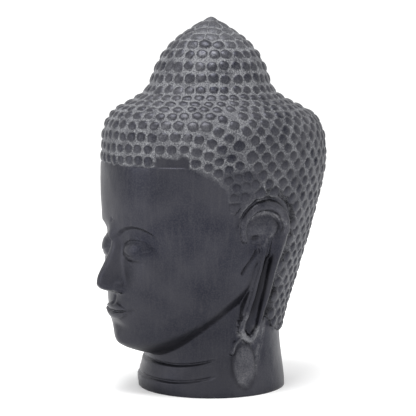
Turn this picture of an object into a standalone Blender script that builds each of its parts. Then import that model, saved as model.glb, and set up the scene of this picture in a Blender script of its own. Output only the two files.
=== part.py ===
"""Bronze Buddha head, cast in one piece: crown, curls, face, long ears and a flared neck, cut flat below.

Metres, +Z up, the face looking along -Y, the origin at the middle of the flat underside.
The carving is drawn in parts of the head's height, as a sculptor's canon is: PARTS_TALL parts make the whole.
Angles go round the head's axis from the middle of the face, and are positive on the side of the left ear.
"""

import math

import bmesh
import bpy
import numpy as np
from mathutils.geometry import delaunay_2d_cdt

# Driving sizes, in metres and triangles
HEIGHT = 0.380
BASE_RADIUS = 0.0762
TRIANGLES = 9600

# The canon, and how long a part is
PARTS_TALL = 380.0
PART = HEIGHT / PARTS_TALL

# Spacing of the points that the plain skin is carved on before it is thinned out, in parts
SKIN_STEP = 2.2
MAP_COLUMNS = 220  # of the map that the skin is laid out on
MAP_ROWS = 700
MAP_BLUR = 8  # columns on each side that it is evened out over
SAME_POINT = 1e-6
BASE_SIDES = 64  # corners of the round underside
FOOT_TRIANGLE = 0.6  # reach of the triangle in its middle, in shares of its radius
MAP_SHAKE = 1e-3  # radians that its points are moved at most, so that no four lie on one circle
SEED = 3
CROWN_SIDES = 6  # times that the tip stands along the map's upper edge
SEAM_SHARE = 2 * math.pi / 3  # radians on each side of the back that the map shows twice

# Hair without its curls: depth below the tip, half width, reach to the front, reach to the back
HAIR_SECTIONS = (
    (0.0, 0.0, 0.0, 0.0),
    (3.4, 7.0, 7.5, 7.0),
    (9.6, 17.0, 18.0, 17.0),
    (16.0, 26.5, 28.0, 26.5),
    (23.0, 35.5, 37.2, 35.5),
    (31.0, 43.0, 44.8, 43.0),
    (42.0, 51.0, 52.5, 51.0),
    (55.0, 57.0, 58.7, 57.0),
    (67.0, 60.5, 63.2, 60.6),
    (75.0, 64.0, 68.8, 65.5),
    (81.0, 69.5, 77.5, 74.0),
    (87.0, 76.0, 89.0, 85.8),
    (93.0, 82.5, 101.2, 99.3),
    (100.0, 89.0, 107.5, 111.5),
    (110.0, 95.0, 112.3, 118.7),
    (124.0, 98.8, 114.4, 123.2),
    (142.0, 100.0, 115.0, 124.2),
    (160.0, 99.5, 114.2, 121.8),
    (184.0, 97.0, 113.3, 115.4),
    (209.0, 93.0, 110.0, 108.4),
    (234.0, 88.5, 105.0, 100.4),
    (259.0, 83.5, 100.0, 92.2),
    (284.0, 79.0, 90.0, 83.6),
    (309.0, 75.0, 80.0, 75.0),
    (322.0, 74.0, 72.0, 70.5),
    (380.0, 62.0, 60.0, 57.0),
)

# Curls: rows counted from the tip down. Over the brow they run level, from the temples on they fall away,
# and behind that the curls stand in a diamond pattern down to the nape.
# Row and its arc from the tip.
ROW_PLACES = ((0, 0), (1.5, 18), (4.5, 50), (8.5, 101.5), (12.5, 144.5), (16.5, 191.5), (30, 337))
LAST_ROW = 24.5
BROW_ROW = 16.5  # the row that runs along the hairline over the brow
CURL_WIDTH = 12.0  # from one curl of a row to the next
# Rows that differ: their curls' width, and where the first one stands, in widths from the middle of the face.
FRONT_ROWS = {
    9.5: (11.5, 0.75), 10.5: (12.9, 0.6), 11.5: (13.2, 0.85), 12.5: (12.5, 0.35),
    13.5: (12.8, 0.3), 14.5: (11.9, 0.7), 15.5: (12.1, 0.4), 16.5: (12.0, 0.5),
}
CURL_APART = 10.6  # the least distance between two curls' middles
CLASH_SHARE = 0.72  # of that distance: a curl of the diamond pattern nearer to a row is left out
CURL_RISE = 2.0
SCALE_ROWS = (3.0, 5.5)  # rows over which the wide scales near the tip turn into round curls
SCALE_WIDTH = 15.0
LEVEL_ROWS = 12  # rows before this one run level all round
# Row, and degrees from where on it falls.
FAN_START = ((12.5, 55), (13.5, 51), (14.5, 46.5), (15.5, 45), (16.5, 45.5))
FAN_FALL = 0.033  # parts for each square degree
FAN_END = 79.0  # degrees
SIDE_TOP = 145.0  # arc from the tip to the first row of the diamond pattern
SIDE_PITCH = 8.7
SIDE_START = 81.0  # degrees of its first column
SIDE_STEPS = 11.5  # columns from there to the middle of the back
SIDE_WIDEST = 171.0  # arc at which the columns are evenly spaced
SIDE_LEAN = 1.1  # degrees that its columns lean forward for each row, below the fourth
MOST_LEAN = 6.0
CURL_EASING = 12  # steps in which curls that crowd each other move apart
SAME_ANGLE = 1e-3
BARE_STRIP = (29.5, 48)  # degrees on the left over the brow, where the lowest row has lost its curls

# Hairline, as angle from the middle of the face in degrees and height
PARTS_PER_DEGREE = 1.85  # along the widest part of the head
HAIRLINE = (
    (0, 233.1), (46, 233.1), (51, 230.3), (58, 224), (64, 218.3),
    (69, 210.5), (71.5, 187), (74, 186), (78, 194),
)
NAPE_LINE = ((78, 80), (95, 78), (106, 76), (124, 61), (150, 56), (180, 55))
EAR_CENTRE = (8.7, 171.8)  # of the round upper ear: distance behind the axis, height
EAR_CLEAR = 31.0  # radius of the bare skin round it
EAR_REAR_LOW = (18.5, 78.0)  # where the hair's front edge behind the ear ends
HAIR_EDGE = 2.0  # width over which the hair rises from the skin
ALL_HAIR = (262.0, 270.0)  # heights over which the skin's own form ends under the hair

# Face without its features: height, half width at the ears, reach to the front
FACE_SECTIONS = (
    (320.0, 20.0, 20.0),
    (290.0, 70.0, 82.0),
    (262.0, 93.0, 109.0),
    (240.0, 97.0, 113.0),
    (220.0, 96.2, 114.2),
    (200.0, 94.5, 114.5),
    (182.0, 92.3, 114.0),
    (165.0, 89.8, 112.5),
    (150.0, 87.3, 110.3),
    (130.0, 84.2, 109.6),
    (110.0, 80.6, 109.6),
    (95.0, 77.2, 109.6),
    (80.0, 73.0, 108.8),
    (66.0, 67.5, 107.0),
    (54.0, 61.5, 104.0),
    (42.0, 55.0, 98.0),
    (0.0, 20.0, 40.0),
)
BROW_MARK = (0, 178.5)  # the small pit between the brows
FACE_POWER = 2.2  # its plan sections are a little squarer than an ellipse
JAW_LOW = 31.0  # height where the jaw's underside meets the neck below the chin
JAW_RISE = 52.0  # how much higher it does so under the ear
JAW_ROUND_FRONT = 23.0
JAW_ROUND_SIDE = 36.0
JAW_FILLET = 7.0  # where it meets the neck

# Neck, in shares of the base's radius: height, half width, reach to the front, reach to the back
NECK_SECTIONS = (
    (0.0, 1.0, 0.99, 1.005),
    (6.0, 1.0, 1.0, 1.0),
    (14.0, 0.985, 0.985, 0.99),
    (24.0, 0.965, 0.94, 0.975),
    (34.0, 0.945, 0.90, 0.96),
    (46.0, 0.93, 0.89, 0.945),
    (60.0, 0.93, 0.87, 0.925),
    (90.0, 0.94, 0.79, 0.88),
    (150.0, 0.90, 0.60, 0.80),
    (380.0, 0.01, 0.01, 0.01),
)
NECK_FOLDS = (31.0, 14.5)  # heights of the folds at the front
FOLD_LEVEL = 0.4  # angle up to which a fold runs level
FOLD_END = 1.15  # angle at which it ends
FOLD_RISE = 8.0  # how far it turns up by then
FOLD_DEPTH = 1.5

# Ear, as distance behind the axis and height: lines along the middle of its ribs, and their half widths.
# Its ribs stand on a ground of its own, given as height and distance from the head's middle.
EAR_GROUND = ((205, 91.5), (172, 90), (140, 86), (110, 81), (85, 76), (60, 71.5), (35, 70.5), (5, 73))
EAR_BODY = ((8.7, 171.8), (17, 140), (11, 110), (7, 88), (6, 66), (2.3, 49), (-1.5, 23), (-3.5, 12))
BODY_WIDTH = (27, 16, 12.5, 12.5, 15, 16.2, 14.5, 8)
HELIX_RADIUS = 29.0  # of its outer edge
# Degrees over the top, and the outer rim's half width.
HELIX = ((-10, 5.4), (30, 5.8), (90, 6.5), (140, 5.0), (180, 3.9), (205, 3.6))
REAR_STRIP = ((32, 168), (27.5, 158), (23.5, 141), (20, 125), (17.2, 106), (13.0, 88), (10.8, 74), (8.8, 65))
REAR_WIDTH = (5.5, 8.6, 6.6, 5.1, 4.2, 3.2, 2.8, 2.6)
FRONT_STRIP = ((10.5, 168), (10.4, 154), (8, 140), (5.5, 126), (3.5, 117), (1.1, 103), (-1.5, 92), (-4, 82))
FRONT_WIDTH = (4.6, 4.4, 3.0, 2.6, 2.6, 2.6, 2.6, 2.9)
LOBE = ((-4, 82), (-7.2, 75), (-7.6, 68), (-3.8, 61), (1.8, 57.3), (6.4, 60.5), (8.6, 67))
LOBE_WIDTH = (2.9, 3.6, 4.0, 4.8, 5.4, 4.6, 3.2)
EAR_SLOT = ((17.5, 160), (15.5, 140), (11.5, 125), (8.7, 107), (6, 91), (3, 76), (2.8, 67))
SLOT_WIDTH = (1.5, 3.2, 4.0, 4.6, 5.0, 5.2, 4.2)
SLOT_FADE = (45.0, 105.0)  # heights between which it reaches its full depth
SLOT_ROOT = ((16.5, 160), (15.0, 147))  # the rounded ground that it comes out of
ROOT_WIDTH = 7.5
CONCHA = (5.8, 171.8)
CONCHA_SIZE = (19.2, 13.3)
CONCHA_BED = (23.5, 18.0)  # of the lower ground round it
RIM_FADE = (-22.0, 6.0)  # distances behind the axis between which the rim rises to its full height
EAR_CREASE = ((0.8, 149), (-12, 127))
EAR_NOTCH = (-2.4, 163.0)
TRAGUS = (-1.0, 143.0)
LEAF = (-3.3, 31.0)  # the oval pendant under the lobe
LEAF_SIZE = (13.0, 23.0)
LEAF_FOLD = ((-6, 60), (-13, 54), (-16.5, 45))


def curve(at, stations, column=1):
    """A smooth curve through stations (place, value, ...) that doesn't swing past them."""
    table = np.array(sorted(stations), float)
    known, value = table[:, 0], table[:, column]
    step = np.diff(known)
    slope = np.diff(value) / step
    product = slope[1:] * slope[:-1]
    tangent = np.concatenate(([slope[0]], np.zeros(len(product)), [slope[-1]]))
    steady = np.flatnonzero(product > 0)
    tangent[steady + 1] = 2 * product[steady] / (slope[1:] + slope[:-1])[steady]
    at = np.clip(at, known[0], known[-1])
    k = np.clip(np.searchsorted(known, at) - 1, 0, len(step) - 1)
    t = (at - known[k]) / step[k]
    values = value[k] * (1 + 2 * t) * (1 - t) ** 2 + value[k + 1] * t * t * (3 - 2 * t)
    return values + step[k] * (tangent[k] * t * (1 - t) ** 2 - tangent[k + 1] * t * t * (1 - t))


def ease(x, low, high):
    """0 below low, 1 above high and a smooth rise between them."""
    t = np.clip((x - low) / (high - low), 0.0, 1.0)
    return t * t * (3 - 2 * t)


def hill(x, z, at, size):
    """A soft hill of height 1 with the given half sizes."""
    return np.exp(-(((x - at[0]) / size[0]) ** 2) - ((z - at[1]) / size[1]) ** 2)


def dome(x, z, at, size, power=0.5):
    """A dome of height 1 that meets its ground at an edge."""
    inside = 1 - ((x - at[0]) / size[0]) ** 2 - ((z - at[1]) / size[1]) ** 2
    return np.clip(inside, 0.0, 1.0) ** power


def groove(distance, width):
    """A carved line of depth 1, by the distance from its middle."""
    return np.exp(-((distance / width) ** 2))


def soft_max(a, b, width):
    """The larger of two, rounded where they cross."""
    h = np.clip(0.5 + 0.5 * (a - b) / width, 0.0, 1.0)
    return b + (a - b) * h + width * h * (1 - h)


def along_line(y, z, line):
    """Distance from a line of points, and how far along it from 0 at its start to 1 at its end."""
    line = np.array(line, float)
    best = np.full(np.shape(y), np.inf)
    along = np.zeros(np.shape(y))
    length = np.concatenate(([0.0], np.cumsum(np.hypot(*np.diff(line, axis=0).T))))
    for (y0, z0), (y1, z1), start in zip(line[:-1], line[1:], length):
        reach = math.hypot(y1 - y0, z1 - z0)
        t = np.clip(((y - y0) * (y1 - y0) + (z - z0) * (z1 - z0)) / reach**2, 0.0, 1.0)
        away = np.hypot(y - y0 - t * (y1 - y0), z - z0 - t * (z1 - z0))
        nearer = away < best
        best = np.where(nearer, away, best)
        along = np.where(nearer, (start + t * reach) / length[-1], along)
    return best, along


def rib(y, z, line, width, flatness=2.0):
    """A rounded rib of height 1 along a line, of one half width or of one at each of the line's points."""
    away, along = along_line(y, z, line)
    if np.ndim(width):
        line = np.array(line, float)
        length = np.concatenate(([0.0], np.cumsum(np.hypot(*np.diff(line, axis=0).T))))
        width = np.interp(along, length / length[-1], width)
    return np.clip(1 - (away / width) ** flatness, 0.0, 1.0) ** 0.75


def section(theta, side, front, back, power=2.0):
    """Distance from the axis to a plan section that is made of two half superellipses."""
    depth = np.where(np.cos(theta) > 0, front, back)
    return (np.abs(np.sin(theta) / side) ** power + np.abs(np.cos(theta) / depth) ** power) ** (-1 / power)


def hair_sizes(z):
    """Half width and reaches of the hair; stations go by the root of the depth, which keeps the tip round."""
    stations = [(math.sqrt(row[0]), *row[1:]) for row in HAIR_SECTIONS]
    depth = np.sqrt(np.clip(PARTS_TALL - z, 0.0, None))
    return [np.maximum(curve(depth, stations, column), 0.01) for column in (1, 2, 3)]


def face_radius(theta, z):
    """The face without its features, down to the rounded underside of the jaw."""
    turned = 1 - np.cos(np.clip(np.abs(theta), 0, math.pi / 2))
    rounding = JAW_ROUND_FRONT + (JAW_ROUND_SIDE - JAW_ROUND_FRONT) * turned
    below = np.clip((JAW_LOW + JAW_RISE * turned + rounding - z) / rounding, 0.0, 1.0)
    side, front = curve(z, FACE_SECTIONS, 1), curve(z, FACE_SECTIONS, 2)
    return section(theta, side, front, side * 0.9, FACE_POWER) * np.sqrt(1 - below**2)


def neck_radius(theta, z):
    """The neck with its flared foot and the folds across its front."""
    side, front, back = (BASE_RADIUS / PART * curve(z, NECK_SECTIONS, column) for column in (1, 2, 3))
    turned = np.abs(theta)
    lifted = FOLD_RISE * (np.clip(turned - FOLD_LEVEL, 0, None) / (FOLD_END - FOLD_LEVEL)) ** 2
    relief = np.zeros(np.shape(z))
    for height in NECK_FOLDS:
        below = height + lifted - z
        roll = ease(below, 0.0, 3.0) * np.exp(-np.clip(below, 0, None) / 6.0)
        relief = relief + roll - groove(below, 1.2)
    relief = relief * FOLD_DEPTH * (1 - ease(turned, FOLD_END - 0.15, FOLD_END + 0.05))
    return section(theta, side, front, back) + relief


def inside_line(degrees, z, line):
    """How far above a line of (degrees, height) points a place is, measured square to the line."""
    flat = [(angle * PARTS_PER_DEGREE, height) for angle, height in line]
    away, _ = along_line(degrees * PARTS_PER_DEGREE, z, flat)
    return away * np.sign(z - np.interp(degrees, *zip(*line)))


def hair_inside(theta, y, z):
    """How far inside the hair a place is; below nothing, it is bare skin."""
    degrees = np.degrees(np.abs(theta))
    brow = np.where(degrees < HAIRLINE[-1][0], inside_line(degrees, z, HAIRLINE), np.inf)
    nape = np.where(degrees > NAPE_LINE[0][0], inside_line(degrees, z, NAPE_LINE), np.inf)
    round_ear = np.hypot(y - EAR_CENTRE[0], z - EAR_CENTRE[1]) - EAR_CLEAR
    slant = (EAR_CENTRE[0] + EAR_CLEAR - EAR_REAR_LOW[0]) / (EAR_CENTRE[1] - EAR_REAR_LOW[1])
    behind_ear = (y - EAR_REAR_LOW[0] - slant * (z - EAR_REAR_LOW[1])) / math.hypot(1, slant)
    ear = np.where(z > EAR_CENTRE[1], round_ear, behind_ear)
    return np.minimum(np.minimum(brow, nape), ear)


def base_radius_at(theta, z):
    """The whole head without features, ears and curls, and how much of it is hair."""
    hair = section(theta, *hair_sizes(z))
    skin = soft_max(face_radius(theta, z), neck_radius(theta, z), JAW_FILLET)
    share = ease(hair_inside(theta, -hair * np.cos(theta), z), -HAIR_EDGE / 2, HAIR_EDGE / 2)
    share = np.maximum(share, ease(z, *ALL_HAIR))
    return skin + (hair - skin) * share, share


def nose_relief(x, z):
    """A straight ridge from between the brows to a rounded tip, with its wings."""
    heights = ((100, 0), (103.5, 1), (106.5, 11), (109.5, 18), (114, 21.2), (120, 20.4), (130, 16.5))
    heights += ((140, 12.5), (150, 9), (160, 6.0), (170, 2.5), (180, 0))
    widths = ((100, 13), (112, 14.5), (121, 12.5), (135, 10.5), (150, 8.5), (165, 7.5), (180, 12))
    ridge = curve(z, heights) * np.exp(-(np.abs(x / curve(z, widths)) ** 2.6) * 1.1)
    wing = 10.5 * dome(x, z, (12.0, 112.0), (7.0, 7.5), 0.6)
    nostril = 3.0 * hill(x, z, (6.5, 106.3), (3.0, 1.8))
    return soft_max(ridge, wing, 3.0) * ease(z, 101.0, 107.0) - nostril


def eye_relief(x, z):
    """A lowered eye under an arched brow: socket, lids, crease and the line between the lids."""
    brow = curve(x, ((0, 160), (6, 164), (18, 171.5), (32, 174.5), (46, 171.5), (60, 161), (75, 145)))
    under = brow - z
    socket = 4.2 * ease(under, -1.0, 4.5) * (1 - ease(under, 9.0, 40.0)) * (1 - ease(x, 42.0, 62.0))
    lid = 6.2 * dome(x, z, (31.5, 149.0), (19.5, 11.5), 0.7)
    line = curve(x, ((12, 148.5), (16, 147.5), (31, 143.3), (47, 149.5), (52, 151)))
    crease = curve(x, ((12, 149.5), (20, 155), (32, 158), (44, 155.5), (52, 151.5)))
    open_span = ease(x, 13.0, 17.0) * (1 - ease(x, 46.0, 51.0))
    carved = 1.3 * groove(z - line, 1.2) + 0.8 * groove(z - crease, 1.3)
    lower = 0.9 * ease(line - z, 0.0, 2.0) * (1 - ease(line - z, 4.0, 9.0))
    return lid - socket - (carved + lower) * open_span


def mouth_relief(x, z):
    """Closed lips with a bowed upper edge, the groove over them and the hollow under them."""
    middle = curve(x, ((0, 86.3), (5, 85.6), (12, 86.4), (25, 88.6), (30, 89.5)))
    upper = curve(x, ((0, 93.2), (5, 95.0), (12, 93.2), (25, 88.8), (30, 89.6)))
    lower = curve(x, ((0, 77.3), (8, 77.8), (17, 81.5), (25, 88.2), (30, 89.4)))
    up = np.clip((z - middle) / np.maximum(upper - middle, 0.3), 0.0, 1.0)
    down = np.clip((middle - z) / np.maximum(middle - lower, 0.3), 0.0, 1.0)
    span = 1 - ease(x, 20.0, 26.0)
    pillows = 2.6 * np.sqrt(4 * up * (1 - up)) + 3.4 * np.sqrt(4 * down * (1 - down))
    mound = 3.2 * hill(x, z, (0, 87), (28, 15))
    corner = 1.6 * hill(x, z, (27.0, 88.5), (2.6, 2.6))
    parting = 1.3 * groove(z - middle, 1.1) * (1 - ease(x, 24.0, 28.0))
    philtrum = 0.9 * groove(x, 2.2) * ease(z, 94.0, 96.0) * (1 - ease(z, 101.0, 105.0))
    return mound + pillows * span - corner - parting - philtrum


def face_relief(x, z):
    """Depth of the features over the plain face; x is the distance from its middle line."""
    chin = 4.2 * hill(x, z, (0, 57), (15, 10)) - 2.2 * hill(x, z, (0, 71.5), (15, 4))
    cheek = 3.2 * hill(x, z, (43, 120), (19, 23))
    pit = 1.2 * hill(x, z, BROW_MARK, (1.8, 1.8))
    return nose_relief(x, z) + eye_relief(x, z) + mouth_relief(x, z) + chin + cheek - pit


def helix_line():
    """Points along the middle of the ear's outer rim, and its half width at each."""
    turn = np.linspace(HELIX[0][0], HELIX[-1][0], 25)
    width = np.interp(turn, *zip(*HELIX))
    y = EAR_CENTRE[0] + (HELIX_RADIUS - width) * np.cos(np.radians(turn))
    z = EAR_CENTRE[1] + (HELIX_RADIUS - width) * np.sin(np.radians(turn))
    return list(zip(y, z)), width


def ear_side(x, y, z):
    """How far from the head's middle the surface stands with the ear on it, where it stood at x without."""
    away, along = along_line(y, z, EAR_BODY)
    width = np.interp(along, np.linspace(0, 1, len(BODY_WIDTH)), BODY_WIDTH)
    body = 1.2 * (1 - ease(away - width, -1.2, 1.2))
    ribs = (
        (4.6 + 3.0 * ease(y, *RIM_FADE)) * rib(y, z, *helix_line(), 3.0),
        6.6 * rib(y, z, REAR_STRIP, REAR_WIDTH),
        4.6 * rib(y, z, SLOT_ROOT, ROOT_WIDTH, 1.4),
        5.4 * rib(y, z, FRONT_STRIP, FRONT_WIDTH),
        5.6 * rib(y, z, LOBE, LOBE_WIDTH),
        2.2 * rib(y, z, LEAF_FOLD, 3.0),
        5.6 * dome(y, z, CONCHA, CONCHA_SIZE, 0.3),
        3.8 * dome(y, z, CONCHA, CONCHA_BED, 0.3),
        3.8 * dome(y, z, LEAF, LEAF_SIZE, 0.4),
        2.4 * hill(y, z, TRAGUS, (9.0, 12.0)),
    )
    relief = np.maximum.reduce((body, *ribs))
    raised = np.clip(curve(z, EAR_GROUND) + relief - x, 0.0, None) * ease(relief, 0.0, 1.5)
    crease, _ = along_line(y, z, EAR_CREASE)
    rim = np.hypot(y - EAR_CENTRE[0], z - EAR_CENTRE[1]) - HELIX_RADIUS - 0.6
    over_rim = 0.5 * groove(rim, 1.8) * ease(z, EAR_CENTRE[1] - 4.0, EAR_CENTRE[1] + 6.0)
    notch = 3.0 * hill(y, z, EAR_NOTCH, (4.5, 2.2))
    slot = 1.8 * rib(y, z, EAR_SLOT, SLOT_WIDTH) * ease(z, *SLOT_FADE)
    return x + raised - slot - 2.0 * groove(crease, 1.4) - notch - over_rim


def place(theta, z):
    """The point of the finished skin at an angle and height, in parts, before the curls."""
    radius, hair = base_radius_at(theta, z)
    x, y = np.abs(radius * np.sin(theta)), -radius * np.cos(theta)
    front = (1 - ease(np.abs(theta), 1.05, 1.35)) * (1 - hair)
    side = ease(np.abs(theta), 1.0, 1.2) * (1 - ease(np.abs(theta), 2.1, 2.3))
    y = y - face_relief(x, z) * front
    x = x + (ear_side(x, y, z) - x) * side
    return np.stack((x * np.sign(theta), y, z), axis=-1)


def arc_table():
    """Heights from the tip down, and the length of the hair's mean profile down to each."""
    z = PARTS_TALL * (1 - np.linspace(0, 1, 1500) ** 2)
    mean = sum(hair_sizes(z)) / 3
    return z, np.concatenate(([0.0], np.cumsum(np.hypot(np.diff(z), np.diff(mean)))))


def height_at(arc):
    """Height of a place that lies the given arc below the tip."""
    heights, arcs = arc_table()
    return np.interp(arc, arcs, heights)


def ring(arc):
    """Angles over half a turn, and the way along the hair to each, for the arcs from the tip at them."""
    turn = np.linspace(0, math.pi, len(arc))
    z = height_at(arc)
    radius = section(turn, *hair_sizes(z))
    line = np.stack((radius * np.sin(turn), radius * np.cos(turn), z))
    return turn, np.concatenate(([0.0], np.cumsum(np.linalg.norm(np.diff(line, axis=1), axis=0))))


def row_arc(row, degrees):
    """Arc from the tip to a row of curls at an angle from the middle of the face."""
    past = np.clip(degrees - np.interp(row, *zip(*FAN_START)), 0, None) * (row > LEVEL_ROWS)
    return curve(row, ROW_PLACES) + FAN_FALL * past**2


def front_rows():
    """Angle, arc and row number of the curls that stand in rows, round the crown or over the brow."""
    degrees = np.linspace(0, 180, 361)
    for number in range(1, round(LAST_ROW + 0.5)):
        row = number + 0.5
        plain = SCALE_WIDTH + (CURL_WIDTH - SCALE_WIDTH) * ease(row, *SCALE_ROWS)
        width, first = FRONT_ROWS.get(row, (plain, 0.5 * (number % 2)))
        turn, way = ring(row_arc(row, degrees))
        if row < LEVEL_ROWS:
            width = 2 * way[-1] / round(2 * way[-1] / width)
        most = round(way[-1] / width) + 1
        along = (np.arange(-most, most) + first) * width
        along = along[(along > SAME_ANGLE - way[-1]) & (along < way[-1] + SAME_ANGLE)]
        theta = np.interp(np.abs(along), way, turn) * np.sign(along)
        if row > LEVEL_ROWS:
            theta = theta[np.degrees(np.abs(theta)) < FAN_END]
        yield theta, row_arc(row, np.degrees(np.abs(theta))), np.full(len(theta), row)


def side_rows():
    """The same of the curls behind the temples, which stand in a diamond pattern down to the nape."""
    turn, way = ring(np.full(361, SIDE_WIDEST))
    start = np.interp(math.radians(SIDE_START), turn, way)
    step = (way[-1] - start) / SIDE_STEPS
    for number, arc in enumerate(np.arange(SIDE_TOP, arc_table()[1][-1], SIDE_PITCH)):
        columns = start + step * (np.arange(SIDE_STEPS + 1) + 0.5 * (number % 2))
        degrees = np.degrees(np.interp(columns[columns < way[-1] + SAME_ANGLE], way, turn))
        lean = np.clip(SIDE_LEAN * (number - 3), 0, MOST_LEAN) * (1 - ease(degrees, 95.0, 175.0))
        theta = np.radians(degrees - lean)
        theta = np.concatenate((theta, -theta[theta < math.pi - SAME_ANGLE]))
        yield theta, np.full(len(theta), arc), np.full(len(theta), LAST_ROW)


def moved_apart(theta, arc):
    """The same curls, with those that crowd each other moved apart."""
    for _ in range(CURL_EASING):
        radius = section(theta, *hair_sizes(height_at(arc)))
        turned = (theta[:, None] - theta + math.pi) % (2 * math.pi) - math.pi
        across = turned * (radius[:, None] + radius) / 2
        down = arc[:, None] - arc
        distance = np.hypot(across, down)
        np.fill_diagonal(distance, CURL_APART)
        push = np.clip(CURL_APART / distance - 1, 0, 1) / 4
        theta = theta + np.sum(push * across, axis=1) / radius
        arc = arc + np.sum(push * down, axis=1)
    return theta, arc


def curl_middles():
    """Angle, arc and row number of every curl, also of those that would lie outside the hair."""
    theta, arc, row = np.concatenate([np.stack(part) for part in (*front_rows(), *side_rows())], axis=1)
    radius = section(theta, *hair_sizes(height_at(arc)))
    side = row == LAST_ROW
    turned = (theta[side][:, None] - theta[~side] + math.pi) % (2 * math.pi) - math.pi
    distance = np.hypot(turned * radius[side][:, None], arc[side][:, None] - arc[~side])
    kept = np.ones(len(theta), bool)
    kept[side] = distance.min(axis=1) > CLASH_SHARE * CURL_APART
    theta, arc = moved_apart(theta[kept], arc[kept])
    return theta, arc, row[kept]


def is_lost(theta, row):
    """Whether a curl is one of those missing over the brow."""
    degrees = np.degrees(theta)
    return (row == BROW_ROW) & (degrees > BARE_STRIP[0]) & (degrees < BARE_STRIP[1])


def curl_points(flat):
    """Angle, height and rise of the curls' lattice: their tops, and the corners in the grooves between."""
    theta, arc, row = curl_middles()
    z = height_at(arc)
    rise = np.where(is_lost(theta, row), 0.0, CURL_RISE)
    joined = flat.joined(theta, z)
    grooves = [(angle, z[corners].mean()) for angle, corners in joined if len(z) not in corners]
    angle, level = np.array(grooves).T
    top = np.concatenate((np.ones(len(theta), bool), np.zeros(len(angle), bool)))
    theta, z = np.concatenate((theta, angle)), np.concatenate((z, level))
    rise = np.concatenate((rise, np.zeros(len(angle))))
    inside = hair_inside(theta, -section(theta, *hair_sizes(z)) * np.cos(theta), z)
    kept = (inside > np.where(top, CURL_WIDTH / 3, HAIR_EDGE + SKIN_STEP / 2)) & (z > 0)
    return theta[kept], z[kept], rise[kept]


class Unrolled:
    """The head's surface laid out flat, round and down in radians, so that small shapes keep their form."""

    def __init__(self):
        self.theta = np.linspace(-math.pi, math.pi, MAP_COLUMNS + 1)
        self.z = PARTS_TALL * (1 - np.linspace(0, 1, MAP_ROWS + 1) ** 2)
        theta, z = np.meshgrid(self.theta, self.z, indexing="ij")
        radius, _ = base_radius_at(theta, z)
        turns = range(-MAP_BLUR, MAP_BLUR + 1)
        radius = sum(np.roll(radius[:-1], turn, axis=0) for turn in turns) / len(turns)
        radius = np.concatenate((radius, radius[:1]))
        steps = np.hypot(np.diff(radius, axis=1), np.diff(z, axis=1))
        start = np.zeros((MAP_COLUMNS + 1, 1))
        self.way = np.concatenate((start, np.cumsum(steps, axis=1)), axis=1)
        turns = 2 * steps / (radius[:, 1:] + radius[:, :-1])
        self.down = np.concatenate((start, np.cumsum(turns, axis=1)), axis=1)
        self.down *= self.down[:, -1].mean() / self.down[:, -1:]  # the foot lies straight

    def down_at(self, theta, z):
        """How far down the map a point lies."""
        column = (theta + math.pi) / (2 * math.pi) * MAP_COLUMNS
        row = np.sqrt(np.clip(1 - z / PARTS_TALL, 0, 1)) * MAP_ROWS
        i = np.clip(column.astype(int), 0, MAP_COLUMNS - 1)
        j = np.clip(row.astype(int), 0, MAP_ROWS - 1)
        u, v = column - i, row - j
        low = self.down[i, j] * (1 - v) + self.down[i, j + 1] * v
        high = self.down[i + 1, j] * (1 - v) + self.down[i + 1, j + 1] * v
        return low * (1 - u) + high * u

    def joined(self, theta, z):
        """The triangles that join points on the map: each one's angle, and its corners by their numbers.

        The tip has the number after the last point's."""
        shake = MAP_SHAKE * (np.random.default_rng(SEED).random((2, len(theta))) - 0.5)
        across, down = theta + shake[0], self.down_at(theta, z) + shake[1]
        twice = np.flatnonzero(np.abs(theta) > math.pi - SEAM_SHARE)
        tips = np.arange(-math.pi - SEAM_SHARE, math.pi + SEAM_SHARE + SAME_POINT, 2 * math.pi / CROWN_SIDES)
        across = np.concatenate((across, across[twice] - 2 * math.pi * np.sign(theta[twice]), tips))
        down = np.concatenate((down, down[twice], np.zeros(len(tips))))
        number = np.concatenate((np.arange(len(theta)), twice, np.full(len(tips), len(theta))))
        drawing = list(zip(across.tolist(), (-down).tolist()))
        spots, _, triangles, origin, _, _ = delaunay_2d_cdt(drawing, [], [], 0, SAME_POINT)
        for triangle in triangles:
            angle = sum(spots[corner].x for corner in triangle) / 3
            corners = [int(number[origin[corner][0]]) for corner in triangle]
            if -math.pi < angle <= math.pi and len(set(corners)) == 3:
                yield angle, corners


def skin_points(flat):
    """Angle and height of an even grid of points on the bare skin."""
    count = round(flat.way[:, -1].mean() / SKIN_STEP)
    shares = np.linspace(0, 1, count)[1:-1]
    z = np.stack([np.interp(shares * way[-1], way, flat.z) for way in flat.way])
    theta = np.broadcast_to(flat.theta[:, None], z.shape)
    radius, _ = base_radius_at(theta, z)
    kept = hair_inside(theta, -radius * np.cos(theta), z) < HAIR_EDGE
    return theta[kept], z[kept]


def lattice(flat):
    """All points of the surface, as angle, height, rise and whether each may be thinned out."""
    curls = curl_points(flat)
    skin = skin_points(flat)
    foot = np.linspace(-math.pi, math.pi, BASE_SIDES + 1)
    theta = np.concatenate((curls[0], skin[0], foot))
    z = np.concatenate((curls[1], skin[1], np.zeros(len(foot))))
    rise = np.concatenate((curls[2], np.zeros(len(skin[0]) + len(foot))))
    loose = np.concatenate((np.zeros(len(curls[0])), np.ones(len(skin[0])), np.zeros(len(foot))))
    own = theta > -math.pi + SAME_POINT
    return theta[own], z[own], rise[own], loose[own]


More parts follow.
